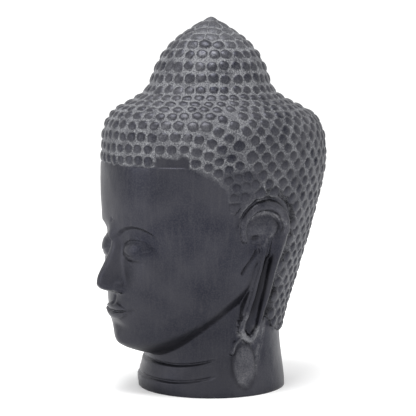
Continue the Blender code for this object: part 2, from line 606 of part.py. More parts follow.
def close_foot(bm):
    """The flat underside: a triangle round the head's axis, and fans from its corners to the rim."""
    rim = [(math.atan2(vert.co.x, -vert.co.y), vert) for vert in bm.verts if vert.is_boundary]
    rim.sort(key=lambda entry: entry[0])
    third, reach = 2 * math.pi / 3, FOOT_TRIANGLE * BASE_RADIUS
    turns = (0, third, 2 * third)
    inner = [bm.verts.new((reach * math.sin(turn), -reach * math.cos(turn), 0.0)) for turn in turns]
    for (turn, vert), (next_turn, next_vert) in zip(rim, rim[1:] + rim[:1]):
        corner, next_corner = inner[round(turn / third) % 3], inner[round(next_turn / third) % 3]
        bm.faces.new((vert, next_vert, corner))
        if corner != next_corner:
            bm.faces.new((next_vert, corner, next_corner))
    bm.faces.new(inner)


def head_mesh():
    """One closed skin: the lattice's points, joined by the triangles that suit them best laid out flat."""
    flat = Unrolled()
    theta, z, rise, loose = lattice(flat)
    foot = set(np.flatnonzero(z == 0).tolist())
    bm = bmesh.new()
    for point in np.concatenate((place(theta, z), [[0.0, 0.0, PARTS_TALL]])) * PART:
        bm.verts.new(point)
    bm.verts.ensure_lookup_table()
    for _, corners in flat.joined(theta, z):
        if not foot.issuperset(corners):
            bm.faces.new([bm.verts[corner] for corner in corners])
    bm.normal_update()
    for vert, height in zip(bm.verts, rise):
        vert.co += vert.normal * height * PART
    close_foot(bm)
    bmesh.ops.recalc_face_normals(bm, faces=bm.faces)
    mesh = bpy.data.meshes.new("buddha_head")
    bm.to_mesh(mesh)
    bm.free()
    return mesh, np.flatnonzero(loose).tolist()


def bronze():
    """Dark patinated bronze."""
    material = bpy.data.materials.new("bronze")
    material.use_nodes = True
    shader = material.node_tree.nodes["Principled BSDF"]
    shader.inputs["Base Color"].default_value = (0.055, 0.058, 0.070, 1.0)
    shader.inputs["Metallic"].default_value = 0.6
    shader.inputs["Roughness"].default_value = 0.42
    return material


def build_head(collection):
    mesh, loose = head_mesh()
    head = bpy.data.objects.new("buddha_head", mesh)
    collection.objects.link(head)
    group = head.vertex_groups.new(name="bare_skin")
    group.add(loose, 1.0, "REPLACE")
    thinning = head.modifiers.new("thinning", "DECIMATE")
    thinning.vertex_group = group.name
    thinning.ratio = TRIANGLES / len(mesh.polygons)
    mesh.materials.append(bronze())
    return head


def main():
    for leftover in list(bpy.data.objects):
        bpy.data.objects.remove(leftover)
    collection = bpy.data.collections.new("buddha_head")
    bpy.context.scene.collection.children.link(collection)
    build_head(collection)


main()
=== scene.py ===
"""Looks of the bronze Buddha head: the casting carved at full detail, its patina, and the studio round it.

The carving's sizes are in parts of the head's height, as in a canon: PARTS_TALL make the whole. Angles go
round its axis from the middle of the face, positive towards the left ear. Places on the ear are given as
distance behind the axis and height. Pairs named START, END, FADE, FULL or TOP are the heights, angles or
distances over which a thing sets in or ends.
"""

import math

import bmesh
import bpy
import numpy as np
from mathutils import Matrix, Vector
from mathutils.kdtree import KDTree


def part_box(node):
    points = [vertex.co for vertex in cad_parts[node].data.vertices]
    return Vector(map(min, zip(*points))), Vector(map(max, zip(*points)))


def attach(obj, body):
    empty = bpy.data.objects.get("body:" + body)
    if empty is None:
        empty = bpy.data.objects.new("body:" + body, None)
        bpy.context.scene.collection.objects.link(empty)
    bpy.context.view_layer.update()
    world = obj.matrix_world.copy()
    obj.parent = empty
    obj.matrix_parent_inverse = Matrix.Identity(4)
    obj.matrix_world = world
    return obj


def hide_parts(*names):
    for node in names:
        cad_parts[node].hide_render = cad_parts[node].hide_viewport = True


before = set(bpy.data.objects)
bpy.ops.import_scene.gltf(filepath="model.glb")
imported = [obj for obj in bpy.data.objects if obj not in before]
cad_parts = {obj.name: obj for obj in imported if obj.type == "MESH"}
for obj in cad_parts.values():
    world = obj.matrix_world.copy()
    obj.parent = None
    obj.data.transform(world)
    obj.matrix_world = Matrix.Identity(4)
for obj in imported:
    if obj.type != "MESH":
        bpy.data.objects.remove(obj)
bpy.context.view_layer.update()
cad_low, cad_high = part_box("buddha_head")

# Driving sizes, from the frame
HEIGHT = cad_high.z - cad_low.z
BASE_RADIUS = 0.2005 * HEIGHT
TRIANGLES = 194000

# The canon, and how long a part is
PARTS_TALL = 380.0
PART = HEIGHT / PARTS_TALL

# The points that are carved before the mesh is thinned out
COLUMNS = 840
ROWS = 590
BASE_RINGS = 8  # on the flat underside
PROFILE_STEPS = 1200  # down a column
ARC_STEPS = 1500  # down the hair
TURN_STEPS = 361  # round half a row of curls
LEAST_LENGTH = 1e-9
SEED = 11

# Hair without its curls: depth below the tip, half width, reaches to the front and back
HAIR_SECTIONS = (
    (0, 0, 0, 0), (3.4, 7, 7.5, 7), (9.6, 17, 18, 17),
    (16, 26.5, 28, 26.5), (23, 35.5, 37.2, 35.5), (31, 43, 44.8, 43),
    (42, 51, 52.5, 51), (55, 57, 58.7, 57), (67, 60.5, 63.2, 60.6),
    (75, 64, 68.8, 65.5), (81, 69.5, 77.5, 74), (87, 76, 89, 85.8),
    (93, 82.5, 101.2, 99.3), (100, 89, 107.5, 111.5), (110, 95, 112.3, 118.7),
    (124, 98.8, 114.4, 123.2), (142, 100, 115, 124.2), (160, 99.5, 114.2, 121.8),
    (184, 97, 113.3, 115.4), (209, 93, 110, 108.4), (234, 88.5, 105, 100.4),
    (259, 83.5, 100, 92.2), (284, 79, 90, 83.6), (309, 75, 80, 75),
    (322, 74, 72, 70.5), (380, 62, 60, 57),
)

# Curls, in rows counted from the tip down: level over the brow, falling away from the temples on, and
# behind that in a diamond pattern down to the nape.
# Row and its arc from the tip.
ROW_PLACES = ((0, 0), (1.5, 18), (4.5, 50), (8.5, 101.5), (12.5, 144.5), (16.5, 191.5), (30, 337))
LAST_ROW = 24.5
BROW_ROW = 16.5  # along the hairline over the brow
CURL_WIDTH = 12.0  # from one curl of a row to the next
# Rows that differ: their curls' width, and the first one's place, in widths.
FRONT_ROWS = {
    9.5: (11.5, 0.75), 10.5: (12.9, 0.6), 11.5: (13.2, 0.85), 12.5: (12.5, 0.35),
    13.5: (12.8, 0.3), 14.5: (11.9, 0.7), 15.5: (12.1, 0.4), 16.5: (12, 0.5),
}
LEVEL_ROWS = 12  # rows before this one run level all round
# Row, and degrees from where on it falls.
FAN_START = ((12.5, 55), (13.5, 51), (14.5, 46.5), (15.5, 45), (16.5, 45.5))
FAN_FALL = 0.033  # parts for each square degree
FAN_END = 79.0  # degrees
SIDE_TOP = 145.0  # arc from the tip to the first row of the diamond pattern
SIDE_PITCH = 8.7
SIDE_START = 81.0  # degrees of its first column
SIDE_STEPS = 11.5  # columns from there to the middle of the back
SIDE_WIDEST = 171.0  # arc at which the columns are evenly spaced
SIDE_LEAN = 1.1  # degrees that its columns lean forward for each row
UPRIGHT_ROWS = 3  # rows before it in which they don't
MOST_LEAN = 6
LEAN_END = (95, 175)
CURL_APART = 10.6  # the least distance between two curls' middles
CLASH_SHARE = 0.72  # of that: a curl of the pattern nearer to a row is left out
CURL_EASING = 12  # steps that move crowded curls apart
SAME_ANGLE = 1e-3
BARE_STRIP = (29.5, 48)  # degrees on the left where the brow's row has lost its curls

# One curl
CURL_RISE = 1.6
LOWEST_CURL = 0.8  # share of that in the lowest one
RISE_SPREAD = 0.4  # how much higher the highest one is
CURL_RADIUS = 5.65
RADIUS_SPREAD = 0.18
CURL_FIT = (0.9, 1.15)  # least and most that its room changes it
CURL_SQUASH = 1.12  # how much wider a front curl is than high
CURL_FLATNESS = 2.6
CURL_JITTER = 1.8
CURL_UNEVEN = 0.5  # of its edge
SCALE_ROWS = (3, 5.5)  # over which wide scales turn into curls
SCALE_WIDTH = 15
SCALE_REACH = 1.5  # past half its width
SCALE_LOWER = 0.3  # share of the rise that it lacks
CAP_RADIUS = 12
CAP_RISE = 0.2
CAP_BELOW_TIP = 0.01
CAP_ROW = 0.5
NEIGHBOURS = 4  # curls that may bound a spot
NEIGHBOURS_ROUND = 4  # curls that its room is measured to
# Row, and half widths of the joints beside and below its curls.
JOINTS = (
    (2, -0.5, 0.6), (5, -0.1, 0.7), (10.5, 0.1, 0.7),
    (13, 0.4, 0.7), (BROW_ROW, 0.4, 0.8), (LAST_ROW, 0.3, 0.35),
)
CAP_JOINT = 0.2
CORNER_ROUNDING = 1.1

# Hairline, as angle from the middle of the face in degrees and height
PARTS_PER_DEGREE = 1.85  # along the widest part of the head
HAIRLINE = (
    (0, 233.1), (46, 233.1), (51, 230.3), (58, 224), (64, 218.3),
    (69, 210.5), (71.5, 187), (74, 186), (78, 194),
)
NAPE_LINE = ((78, 80), (95, 78), (106, 76), (124, 61), (150, 56), (180, 55))
EAR_CENTRE = (8.7, 171.8)  # of the round upper ear
EAR_CLEAR = 31.0  # radius of the bare skin round it
EAR_REAR_LOW = (18.5, 78)  # where the hair's front edge behind the ear ends
HAIR_EDGE = 2.0  # width over which the hair rises from the skin
ALL_HAIR = (262, 270)  # heights where the skin's form ends
HAIR_STEP = 6.0  # the most it stands above the skin
SCALLOP = (7, 11)  # how far inside the hairline skin shows between curls

# Face without its features: height, half width at the ears, reach to the front
FACE_SECTIONS = (
    (320, 20, 20), (290, 70, 82), (262, 93, 109),
    (240, 97, 113), (220, 96.2, 114.2), (200, 94.5, 114.5),
    (182, 92.3, 114), (165, 89.8, 112.5), (150, 87.3, 110.3),
    (130, 84.2, 109.6), (110, 80.6, 109.6), (95, 77.2, 109.6),
    (80, 73, 108.8), (66, 67.5, 107), (54, 61.5, 104),
    (42, 55, 98), (0, 20, 40),
)
FACE_END = (1.05, 1.35)
BROW_MARK = (0, 178.5)  # the small pit between the brows
FACE_POWER = 2.2  # its plan is squarer than an ellipse
FACE_BACK = 0.9  # reach to the back, in half widths
JAW_LOW = 31.0  # height where it meets the neck under the chin
JAW_RISE = 52.0  # how much higher under the ear
JAW_ROUND_FRONT = 23
JAW_ROUND_SIDE = 36
JAW_FILLET = 7.0  # where it meets the neck

# Neck, in shares of the base's radius: height, half width, reaches to the front and back
NECK_SECTIONS = (
    (0, 1, 0.99, 1.005), (6, 1, 1, 1), (14, 0.985, 0.985, 0.99),
    (24, 0.965, 0.94, 0.975), (34, 0.945, 0.90, 0.96), (46, 0.93, 0.89, 0.945),
    (60, 0.93, 0.87, 0.925), (90, 0.94, 0.79, 0.88), (150, 0.90, 0.60, 0.80),
    (380, 0.01, 0.01, 0.01),
)
NECK_FOLDS = (31, 14.5)  # heights of the folds at the front
FOLD_LEVEL = 0.4  # angle up to which a fold runs level
FOLD_END = 1.15
FOLD_FADE = (FOLD_END - 0.15, FOLD_END + 0.05)
FOLD_RISE = 8.0  # how far it turns up by then
FOLD_DEPTH = 1.5
FOLD_WIDTH = 1.2
FOLD_ROLL = 3
FOLD_FALL = 6

# Ear: middle lines and half widths of its ribs, on a ground given as height and distance from the middle.
EAR_START = (1, 1.2)
EAR_END = (2.1, 2.3)
EAR_EDGE = (0, 1.5)
EAR_GROUND = ((205, 91.5), (172, 90), (140, 86), (110, 81), (85, 76), (60, 71.5), (35, 70.5), (5, 73))
EAR_BODY = ((8.7, 171.8), (17, 140), (11, 110), (7, 88), (6, 66), (2.3, 49), (-1.5, 23), (-3.5, 12))
BODY_WIDTH = (27, 16, 12.5, 12.5, 15, 16.2, 14.5, 8)
BODY_RISE = 1.2
BODY_EDGE = 1.2
HELIX_RADIUS = 29.0  # of its outer edge
HELIX_POINTS = 25
# Degrees over the top, and the outer rim's half width.
HELIX = ((-10, 5.4), (30, 5.8), (90, 6.5), (140, 5), (180, 3.9), (205, 3.6))
RIM_RISE = 4.6  # of the rim at its front end
RIM_MORE = 3.0  # more on the rest of it
RIM_FADE = (-22, 6)
RIM_FLATNESS = 3
OVER_RIM = (0.6, 1.8, 0.5)  # the groove over it: distance outside it, half width, depth
OVER_RIM_START = (EAR_CENTRE[1] - 4, EAR_CENTRE[1] + 6)
REAR_STRIP = (
    (32, 168), (27.5, 158), (23.5, 141), (20, 125), (17.2, 106), (13, 88), (10.8, 74), (8.8, 65),
)
REAR_WIDTH = (5.5, 8.6, 6.6, 5.1, 4.2, 3.2, 2.8, 2.6)
FRONT_STRIP = (
    (10.5, 168), (10.4, 154), (8, 140), (5.5, 126), (3.5, 117), (1.1, 103), (-1.5, 92), (-4, 82),
)
FRONT_WIDTH = (4.6, 4.4, 3, 2.6, 2.6, 2.6, 2.6, 2.9)
LOBE = ((-4, 82), (-7.2, 75), (-7.6, 68), (-3.8, 61), (1.8, 57.3), (6.4, 60.5), (8.6, 67))
LOBE_WIDTH = (2.9, 3.6, 4, 4.8, 5.4, 4.6, 3.2)
EAR_SLOT = ((17.5, 160), (15.5, 140), (11.5, 125), (8.7, 107), (6, 91), (3, 76), (2.8, 67))
SLOT_WIDTH = (1.5, 3.2, 4, 4.6, 5, 5.2, 4.2)
SLOT_DEPTH = 1.8
SLOT_FADE = (45, 105)
SLOT_ROOT = ((16.5, 160), (15, 147))  # what it comes out of
EAR_CREASE = ((0.8, 149), (-12, 127))
CREASE_WIDTH = 1.4
CREASE_DEPTH = 2
EAR_NOTCH = (-2.4, 163)
NOTCH_SIZE = (4.5, 2.2)
NOTCH_DEPTH = 3
TRAGUS = (-1, 143)
TRAGUS_SIZE = (9, 12)
TRAGUS_RISE = 2.4
CONCHA = (5.8, 171.8)
CONCHA_SIZE = (19.2, 13.3)
CONCHA_BED = (23.5, 18)  # of the lower ground round it
CONCHA_POWER = 0.3
LEAF = (-3.3, 31)  # the oval pendant under the lobe
LEAF_SIZE = (13, 23)
LEAF_POWER = 0.4
LEAF_FOLD = ((-6, 60), (-13, 54), (-16.5, 45))
RIB_FULLNESS = 0.75  # power that rounds ribs and curls
# Line, half width or widths, rise and flatness of its plain ribs.
EAR_RIBS = (
    (REAR_STRIP, REAR_WIDTH, 6.6, 2), (FRONT_STRIP, FRONT_WIDTH, 5.4, 2),
    (SLOT_ROOT, 7.5, 4.6, 1.4), (LOBE, LOBE_WIDTH, 5.6, 2), (LEAF_FOLD, 3, 2.2, 2),
)
# Middle, half sizes, rise and power of its domes.
EAR_DOMES = (
    (CONCHA, CONCHA_SIZE, 5.6, CONCHA_POWER),
    (CONCHA, CONCHA_BED, 3.8, CONCHA_POWER),
    (LEAF, LEAF_SIZE, 3.8, LEAF_POWER),
)

# Unevenness, as layers of noise: size, seed, strength
NOISE_CELLS = 32  # before it repeats
EDGE_NOISE = ((2.4, 11, 1), (1.2, 12, 0.5))  # of the curls' edges
SKIN_NOISE = ((17, 3, 0.3), (6, 4, 0.12))  # of the cast skin
HAIR_NOISE = ((3.5, 5, 0.22),)  # more on the hair
DUST_NOISE = ((13, 7, 0.45), (3, 8, 0.4), (1.3, 10, 0.3))
RUBBED_AND_HIGHLIT_NOISE = ((4, 9, 0.8), (1.6, 13, 0.9))
TONE_NOISE = ((22, 6, 0.2),)  # of the metal's lightness
MEAN_DUST = 0.95
DUST_LIMITS = (0.15, 1.4)
MEAN_RUBBED_AND_HIGHLIT = 0.85
EVEN_FOOT = (0, 3)

# Dust between the curls, where 1 is the most that there can be
DUST_PLAIN = 0.6
DUST_BROW = 0.2  # more over the brow
BROW_END = (45, 80)
DUST_CROWN = 0.9
CROWN_START = (292, 312)
DUST_CAP = 0.3  # more on the cap
CAP_START = (345, 365)
DUST_OVER_EAR = 0.18  # less over the ear
WORN_DUST = 0.8  # share that the worn hair lacks
# Patches of the hair: degrees where they set in and end, heights where they end.
OVER_EAR = ((66, 80), (112, 130), (225, 262))
WORN_HAIR = ((62, 68), (84, 92), (226, 236))

# Marks of a curl, by the distance inside its edge. Bands have a distance, half width and strength.
OFF_CURL = (-0.8, 0.3)  # where the hairline's skin gives way to it
WORN_CURL = 0.45  # share of its rise that is worn off
LOST_EDGE = (-0.4, 0.4)  # where a missing curl's bare place sets in
LOST_REACH = 3.0  # how far above the curl's middle it starts
LOST_DEPTH = 0.9
# painted shade on a missing curl's bare place
LOST_SHADE = 0.25
JOINT_DUST = (-0.3, 0.8)
CLEAN_SKIN = (0.6, 1.8)  # outside the edge, at the hairline
RING_LEAST = 0.7  # of the joints' dust, without the ring
RING = (-0.1, 0.8, 0.4)
SMEAR = 0.2  # dust on a curl's lower half
SMEAR_MORE = 0.07  # more on the side of the head
SMEAR_SIDE = (60, 90)
SMEAR_START = (-0.6, 0.8)  # radii below the middle
SCALE_CLEAN = 0.1
SCALE_DUST = 0.14
OUTLINE = (0.7, 0.7, 0.3)  # painted shade: the dark line round a curl
UPPER_SHADE = (1, 0.9, 0.35)  # the shade inside its upper edge
UPPER_START = (0.1, 0.7)  # radii above the middle
UPPER_ROWS = (11, 14)
# Painted highlights on a curl: where they set in inside its edge, their least share and their strength
HIGHLIGHT_START = (0.6, 2.4)
HIGHLIGHT_LEAST = 0.25
HIGHLIGHT_STRENGTH = 0.6
# Painted highlights on the curls: middle and half sizes, as degrees and height.
HIGHLIGHT_PATCHES = (((42, 272), (17, 13)), ((44, 336), (38, 20)), ((46, 303), (26, 7)))
TONE_LEAST = 0.2
BARE_LUCK = 0.5
TONE_LUCK = 0.6

# Marks on the ear and the hair beside it: wear, dust, painted highlights and painted shade
MARKS_START = (60, 68)
MARKS_END = (118, 128)
# painted highlight along the rim's inner edge
RIM_LINE = ((-6.6, 183), (0.3, 185.6), (8.5, 187.2), (17.8, 184.7), (26, 179.2))
CONCHA_RIDGE = ((7.4, 154.4), (12.1, 161.1), (16.7, 166.8))
LOBE_BOTTOM = ((-7, 64), (-2, 58.5), (4, 56.5), (8, 61), (9.5, 68))
BEHIND_EAR = ((37.5, 165), (32, 140), (26, 112), (20, 84), (18.3, 66.7), (14.9, 50.7), (9.1, 22.7))
FRONT_EDGE = [(behind - 4.5, height) for behind, height in FRONT_STRIP[2:]]
CHIP = ((-0.9, 199.6), (2.6, 199.4))
SCRATCH = ((0.2, 218.3), (4.9, 210.2), (9.6, 199))
# Lines have a half width and a strength, spots have half sizes and a strength.
# The rim line is a painted highlight; the other lines are worn by rubbing
RUBBED_AND_HIGHLIT_LINES = (
    (RIM_LINE, 1.2, 1.5), (CONCHA_RIDGE, 1.1, 0.5), (LOBE_BOTTOM, 3.8, 0.9), (LOBE[:4], 3.2, 0.75),
)
RUBBED_SPOTS = (((-7.4, 15), (4.5, 5), 0.8), ((30.8, 174.9), (2.2, 1.6), 0.8))
RUBBED_LEFT = ((CHIP, 1.3, 1),)
DUSTY_LINES = ((BEHIND_EAR, 1, 0.55), (LEAF_FOLD, 0.9, 0.35), (LOBE_BOTTOM, 2.6, 0.45))
DUSTY_LEFT = ((SCRATCH, 0.7, 0.7),)
# Painted shade along the front strip's edge, down the rear strip, in the crease and in the notch; the other
# dark spot is on the leaf
DARK_LINES = ((FRONT_EDGE, 1.2, 0.4), (REAR_STRIP[2:], 4.5, 0.2), (EAR_CREASE, 1.2, 0.8))
DARK_SPOTS = (((-2.8, 40.7), (1.6, 1.6), 0.9), (EAR_NOTCH, NOTCH_SIZE, 0.7))
LEAF_RUBBED = 0.5
EAR_RUBBED = 0.2  # the concha and the rim
# Bands beside the rim: distance outside it, half width, strength.
RIM_DUST = (3, 1, 0.35)
RIM_DUST_START = (EAR_CENTRE[1] + 8, EAR_CENTRE[1] + 16)
# painted shadow over the top of the rim
RIM_DARK = (1.5, 2.6, 0.2)
RIM_DARK_START = (180, 190)
LEAF_DARK = (0, 0.09, 0.6)  # the same of the painted shade round the leaf, in shares of its size
# painted shade down the ear's slot
SLOT_DARK = (0, 4.6, 1.25)
SLOT_LEAST = 0.3  # share of that at its foot
SLOT_FULL = (72, 100)
SLOT_TOP = (134, 152)
LOW_DARK = 0.36  # painted shade on the neck and lower face
LOW_TOP = (60, 180)
LOW_END = (70, 95)

# Colours of the patina, the painted highlights and the painted shade, as linear red, green and blue
METAL_DARK = (0.010, 0.011, 0.020)
METAL_LIGHT = (0.036, 0.036, 0.045)
STREAK = (0.056, 0.055, 0.061)
CURL_LIGHT = (0.062, 0.062, 0.072)
# worn metal, and the painted highlights
RUBBED_AND_HIGHLIT = (0.135, 0.135, 0.145)
# painted shade, in the hollows and creases, under edges and low on the face and neck
PAINTED_SHADE = (0.012, 0.012, 0.015)
DUST_DARK = (0.125, 0.127, 0.136)
DUST_LIGHT = (0.25, 0.253, 0.266)

# Noise in the patina: scale and detail
CLOUDS = (22, 6)
STREAKS = (260, 3)
STREAK_SQUEEZE = 0.07
GRAIN = (700, 3)
SPECKS = (1500, 1)

# Studio, in metres
CAMERA_TURN = math.radians(60)  # from the face towards the left ear
CAMERA_AWAY = 4.342 * HEIGHT
CAMERA_HEIGHT = 0.947 * HEIGHT
AIM_HEIGHT = 0.483 * HEIGHT
AIM_ASIDE = -0.0082 * HEIGHT
LENS = 138.8  # millimetres, for a sensor 36 wide
# Lamps: name, place towards the camera, to the right and up, width, watts.
LAMPS = (("key", 0.35, -0.12, 1.8, 0.7, 22), ("side", 0.5, -1.2, 0.6, 0.8, 4))
SKY = 1.15
FLOOR_SIZE = 6.0  # each way from the middle
FLOOR_COLOUR = (0.985, 0.985, 0.985, 1)


def curve(at, stations, column=1):
    """A smooth curve through stations (place, value, ...) that doesn't swing past them."""
    table = np.array(sorted(stations), float)
    known, value = table[:, 0], table[:, column]
    step = np.diff(known)
    slope = np.diff(value) / step
    turning = slope[1:] * slope[:-1]
    tangent = np.concatenate(([slope[0]], np.zeros(len(turning)), [slope[-1]]))
    steady = np.flatnonzero(turning > 0)
    tangent[steady + 1] = 2 * turning[steady] / (slope[1:] + slope[:-1])[steady]
    at = np.clip(at, known[0], known[-1])
    k = np.clip(np.searchsorted(known, at) - 1, 0, len(step) - 1)
    t = (at - known[k]) / step[k]
    values = value[k] * (1 + 2 * t) * (1 - t) ** 2 + value[k + 1] * t * t * (3 - 2 * t)
    return values + step[k] * (tangent[k] * t * (1 - t) ** 2 - tangent[k + 1] * t * t * (1 - t))


def ease(x, low, high):
    """0 below low, 1 above high and a smooth rise between them."""
    t = np.clip((x - low) / (high - low), 0.0, 1.0)
    return t * t * (3 - 2 * t)


def hill(x, z, at, size):
    """A soft hill of height 1 with the given half sizes."""
    return np.exp(-(((x - at[0]) / size[0]) ** 2) - ((z - at[1]) / size[1]) ** 2)


def dome(x, z, at, size, power=0.5):
    """A dome of height 1 that meets its ground at an edge."""
    inside = 1 - ((x - at[0]) / size[0]) ** 2 - ((z - at[1]) / size[1]) ** 2
    return np.clip(inside, 0.0, 1.0) ** power


def groove(distance, width):
    """A carved line of depth 1, by the distance from its middle."""
    return np.exp(-((distance / width) ** 2))


def band(distance, middle, width, strength):
    """A soft band of the given strength round a distance."""
    return strength * groove(distance - middle, width)


def soft_max(a, b, width):
    """The larger of two, rounded where they cross."""
    h = np.clip(0.5 + 0.5 * (a - b) / width, 0.0, 1.0)
    return b + (a - b) * h + width * h * (1 - h)


def noise(points, size, seed):
    """Soft random values from -1 to 1 that change over the given size."""
    chance = np.random.default_rng(seed)
    cells = chance.random((NOISE_CELLS,) * 3) * 2 - 1
    at = points / size
    low = np.floor(at).astype(int)
    t = at - low
    t = t * t * (3 - 2 * t)
    value = 0.0
    for corner in range(8):
        offset = np.array([corner & 1, corner >> 1 & 1, corner >> 2 & 1])
        weight = np.prod(np.where(offset, t, 1 - t), axis=-1)
        i, j, k = np.moveaxis((low + offset) % NOISE_CELLS, -1, 0)
        value = value + weight * cells[i, j, k]
    return value


def layered(points, layers):
    """Layers of noise added up."""
    return sum(strength * noise(points, size, seed) for size, seed, strength in layers)


def along_line(y, z, line):
    """Distance from a line of points, and how far along it from 0 at its start to 1 at its end."""
    line = np.array(line, float)
    best = np.full(np.shape(y), np.inf)
    along = np.zeros(np.shape(y))
    length = np.concatenate(([0.0], np.cumsum(np.hypot(*np.diff(line, axis=0).T))))
    for (y0, z0), (y1, z1), start in zip(line[:-1], line[1:], length):
        reach = math.hypot(y1 - y0, z1 - z0)
        t = np.clip(((y - y0) * (y1 - y0) + (z - z0) * (z1 - z0)) / reach**2, 0.0, 1.0)
        away = np.hypot(y - y0 - t * (y1 - y0), z - z0 - t * (z1 - z0))
        nearer = away < best
        best = np.where(nearer, away, best)
        along = np.where(nearer, (start + t * reach) / length[-1], along)
    return best, along


def rib(y, z, line, width, flatness=2.0):
    """A rounded rib of height 1 along a line, of one half width or one for each of its points."""
    away, along = along_line(y, z, line)
    if np.ndim(width):
        line = np.array(line, float)
        length = np.concatenate(([0.0], np.cumsum(np.hypot(*np.diff(line, axis=0).T))))
        width = np.interp(along, length / length[-1], width)
    return np.clip(1 - (away / width) ** flatness, 0.0, 1.0) ** RIB_FULLNESS


def section(theta, side, front, back, power=2.0):
    """Distance from the axis to a plan section of two half superellipses."""
    depth = np.where(np.cos(theta) > 0, front, back)
    return (np.abs(np.sin(theta) / side) ** power + np.abs(np.cos(theta) / depth) ** power) ** (-1 / power)


def hair_sizes(z):
    """Half width and reaches of the hair. Stations go by the root of the depth, so the tip is round."""
    stations = [(math.sqrt(row[0]), *row[1:]) for row in HAIR_SECTIONS]
    depth = np.sqrt(np.clip(PARTS_TALL - z, 0.0, None))
    return [np.maximum(curve(depth, stations, column), 0.01) for column in (1, 2, 3)]


def face_radius(theta, z):
    """The face without its features, down to the rounded underside of the jaw."""
    turned = 1 - np.cos(np.clip(np.abs(theta), 0, math.pi / 2))
    rounding = JAW_ROUND_FRONT + (JAW_ROUND_SIDE - JAW_ROUND_FRONT) * turned
    below = np.clip((JAW_LOW + JAW_RISE * turned + rounding - z) / rounding, 0.0, 1.0)
    side, front = curve(z, FACE_SECTIONS, 1), curve(z, FACE_SECTIONS, 2)
    return section(theta, side, front, side * FACE_BACK, FACE_POWER) * np.sqrt(1 - below**2)


def neck_radius(theta, z):
    """The neck with its flared foot and the folds across its front."""
    side, front, back = (BASE_RADIUS / PART * curve(z, NECK_SECTIONS, column) for column in (1, 2, 3))
    turned = np.abs(theta)
    lifted = FOLD_RISE * (np.clip(turned - FOLD_LEVEL, 0, None) / (FOLD_END - FOLD_LEVEL)) ** 2
    relief = np.zeros(np.shape(z))
    for height in NECK_FOLDS:
        below = height + lifted - z
        roll = ease(below, 0.0, FOLD_ROLL) * np.exp(-np.clip(below, 0, None) / FOLD_FALL)
        relief = relief + roll - groove(below, FOLD_WIDTH)
    relief = relief * FOLD_DEPTH * (1 - ease(turned, *FOLD_FADE))
    return section(theta, side, front, back) + relief


def inside_line(degrees, z, line):
    """How far above a line of (degrees, height) points a place is, measured square to the line."""
    flat = [(angle * PARTS_PER_DEGREE, height) for angle, height in line]
    away, _ = along_line(degrees * PARTS_PER_DEGREE, z, flat)
    return away * np.sign(z - np.interp(degrees, *zip(*line)))


def hair_inside(theta, y, z):
    """How far inside the hair a place is; below nothing, it is bare skin."""
    degrees = np.degrees(np.abs(theta))
    brow = np.where(degrees < HAIRLINE[-1][0], inside_line(degrees, z, HAIRLINE), np.inf)
    nape = np.where(degrees > NAPE_LINE[0][0], inside_line(degrees, z, NAPE_LINE), np.inf)
    round_ear = np.hypot(y - EAR_CENTRE[0], z - EAR_CENTRE[1]) - EAR_CLEAR
    slant = (EAR_CENTRE[0] + EAR_CLEAR - EAR_REAR_LOW[0]) / (EAR_CENTRE[1] - EAR_REAR_LOW[1])
    behind_ear = (y - EAR_REAR_LOW[0] - slant * (z - EAR_REAR_LOW[1])) / math.hypot(1, slant)
    ear = np.where(z > EAR_CENTRE[1], round_ear, behind_ear)
    return np.minimum(np.minimum(brow, nape), ear)


def base_radius_at(theta, z):
    """The whole head without features, ears and curls, and how much of it is hair."""
    hair = section(theta, *hair_sizes(z))
    skin = soft_max(face_radius(theta, z), neck_radius(theta, z), JAW_FILLET)
    share = ease(hair_inside(theta, -hair * np.cos(theta), z), -HAIR_EDGE / 2, HAIR_EDGE / 2)
    share = np.maximum(share, ease(z, *ALL_HAIR))
    return skin + (hair - skin) * share, share


def nose_relief(x, z):
    """A straight ridge from between the brows to a rounded tip, with its wings."""
    heights = ((100, 0), (103.5, 1), (106.5, 11), (109.5, 18), (114, 21.2), (120, 20.4), (130, 16.5))
    heights += ((140, 12.5), (150, 9), (160, 6.0), (170, 2.5), (180, 0))
    widths = ((100, 13), (112, 14.5), (121, 12.5), (135, 10.5), (150, 8.5), (165, 7.5), (180, 12))
    ridge = curve(z, heights) * np.exp(-(np.abs(x / curve(z, widths)) ** 2.6) * 1.1)
    wing = 10.5 * dome(x, z, (12.0, 112.0), (7.0, 7.5), 0.6)
    nostril = 3.0 * hill(x, z, (6.5, 106.3), (3.0, 1.8))
    return soft_max(ridge, wing, 3.0) * ease(z, 101.0, 107.0) - nostril


def eye_relief(x, z):
    """A lowered eye under an arched brow: socket, lids, crease and the line between the lids."""
    brow = curve(x, ((0, 160), (6, 164), (18, 171.5), (32, 174.5), (46, 171.5), (60, 161), (75, 145)))
    under = brow - z
    socket = 4.2 * ease(under, -1.0, 4.5) * (1 - ease(under, 9.0, 40.0)) * (1 - ease(x, 42.0, 62.0))
    lid = 6.2 * dome(x, z, (31.5, 149.0), (19.5, 11.5), 0.7)
    line = curve(x, ((12, 148.5), (16, 147.5), (31, 143.3), (47, 149.5), (52, 151)))
    crease = curve(x, ((12, 149.5), (20, 155), (32, 158), (44, 155.5), (52, 151.5)))
    open_span = ease(x, 13.0, 17.0) * (1 - ease(x, 46.0, 51.0))
    carved = 1.3 * groove(z - line, 1.2) + 0.8 * groove(z - crease, 1.3)
    lower = 0.9 * ease(line - z, 0.0, 2.0) * (1 - ease(line - z, 4.0, 9.0))
    return lid - socket - (carved + lower) * open_span


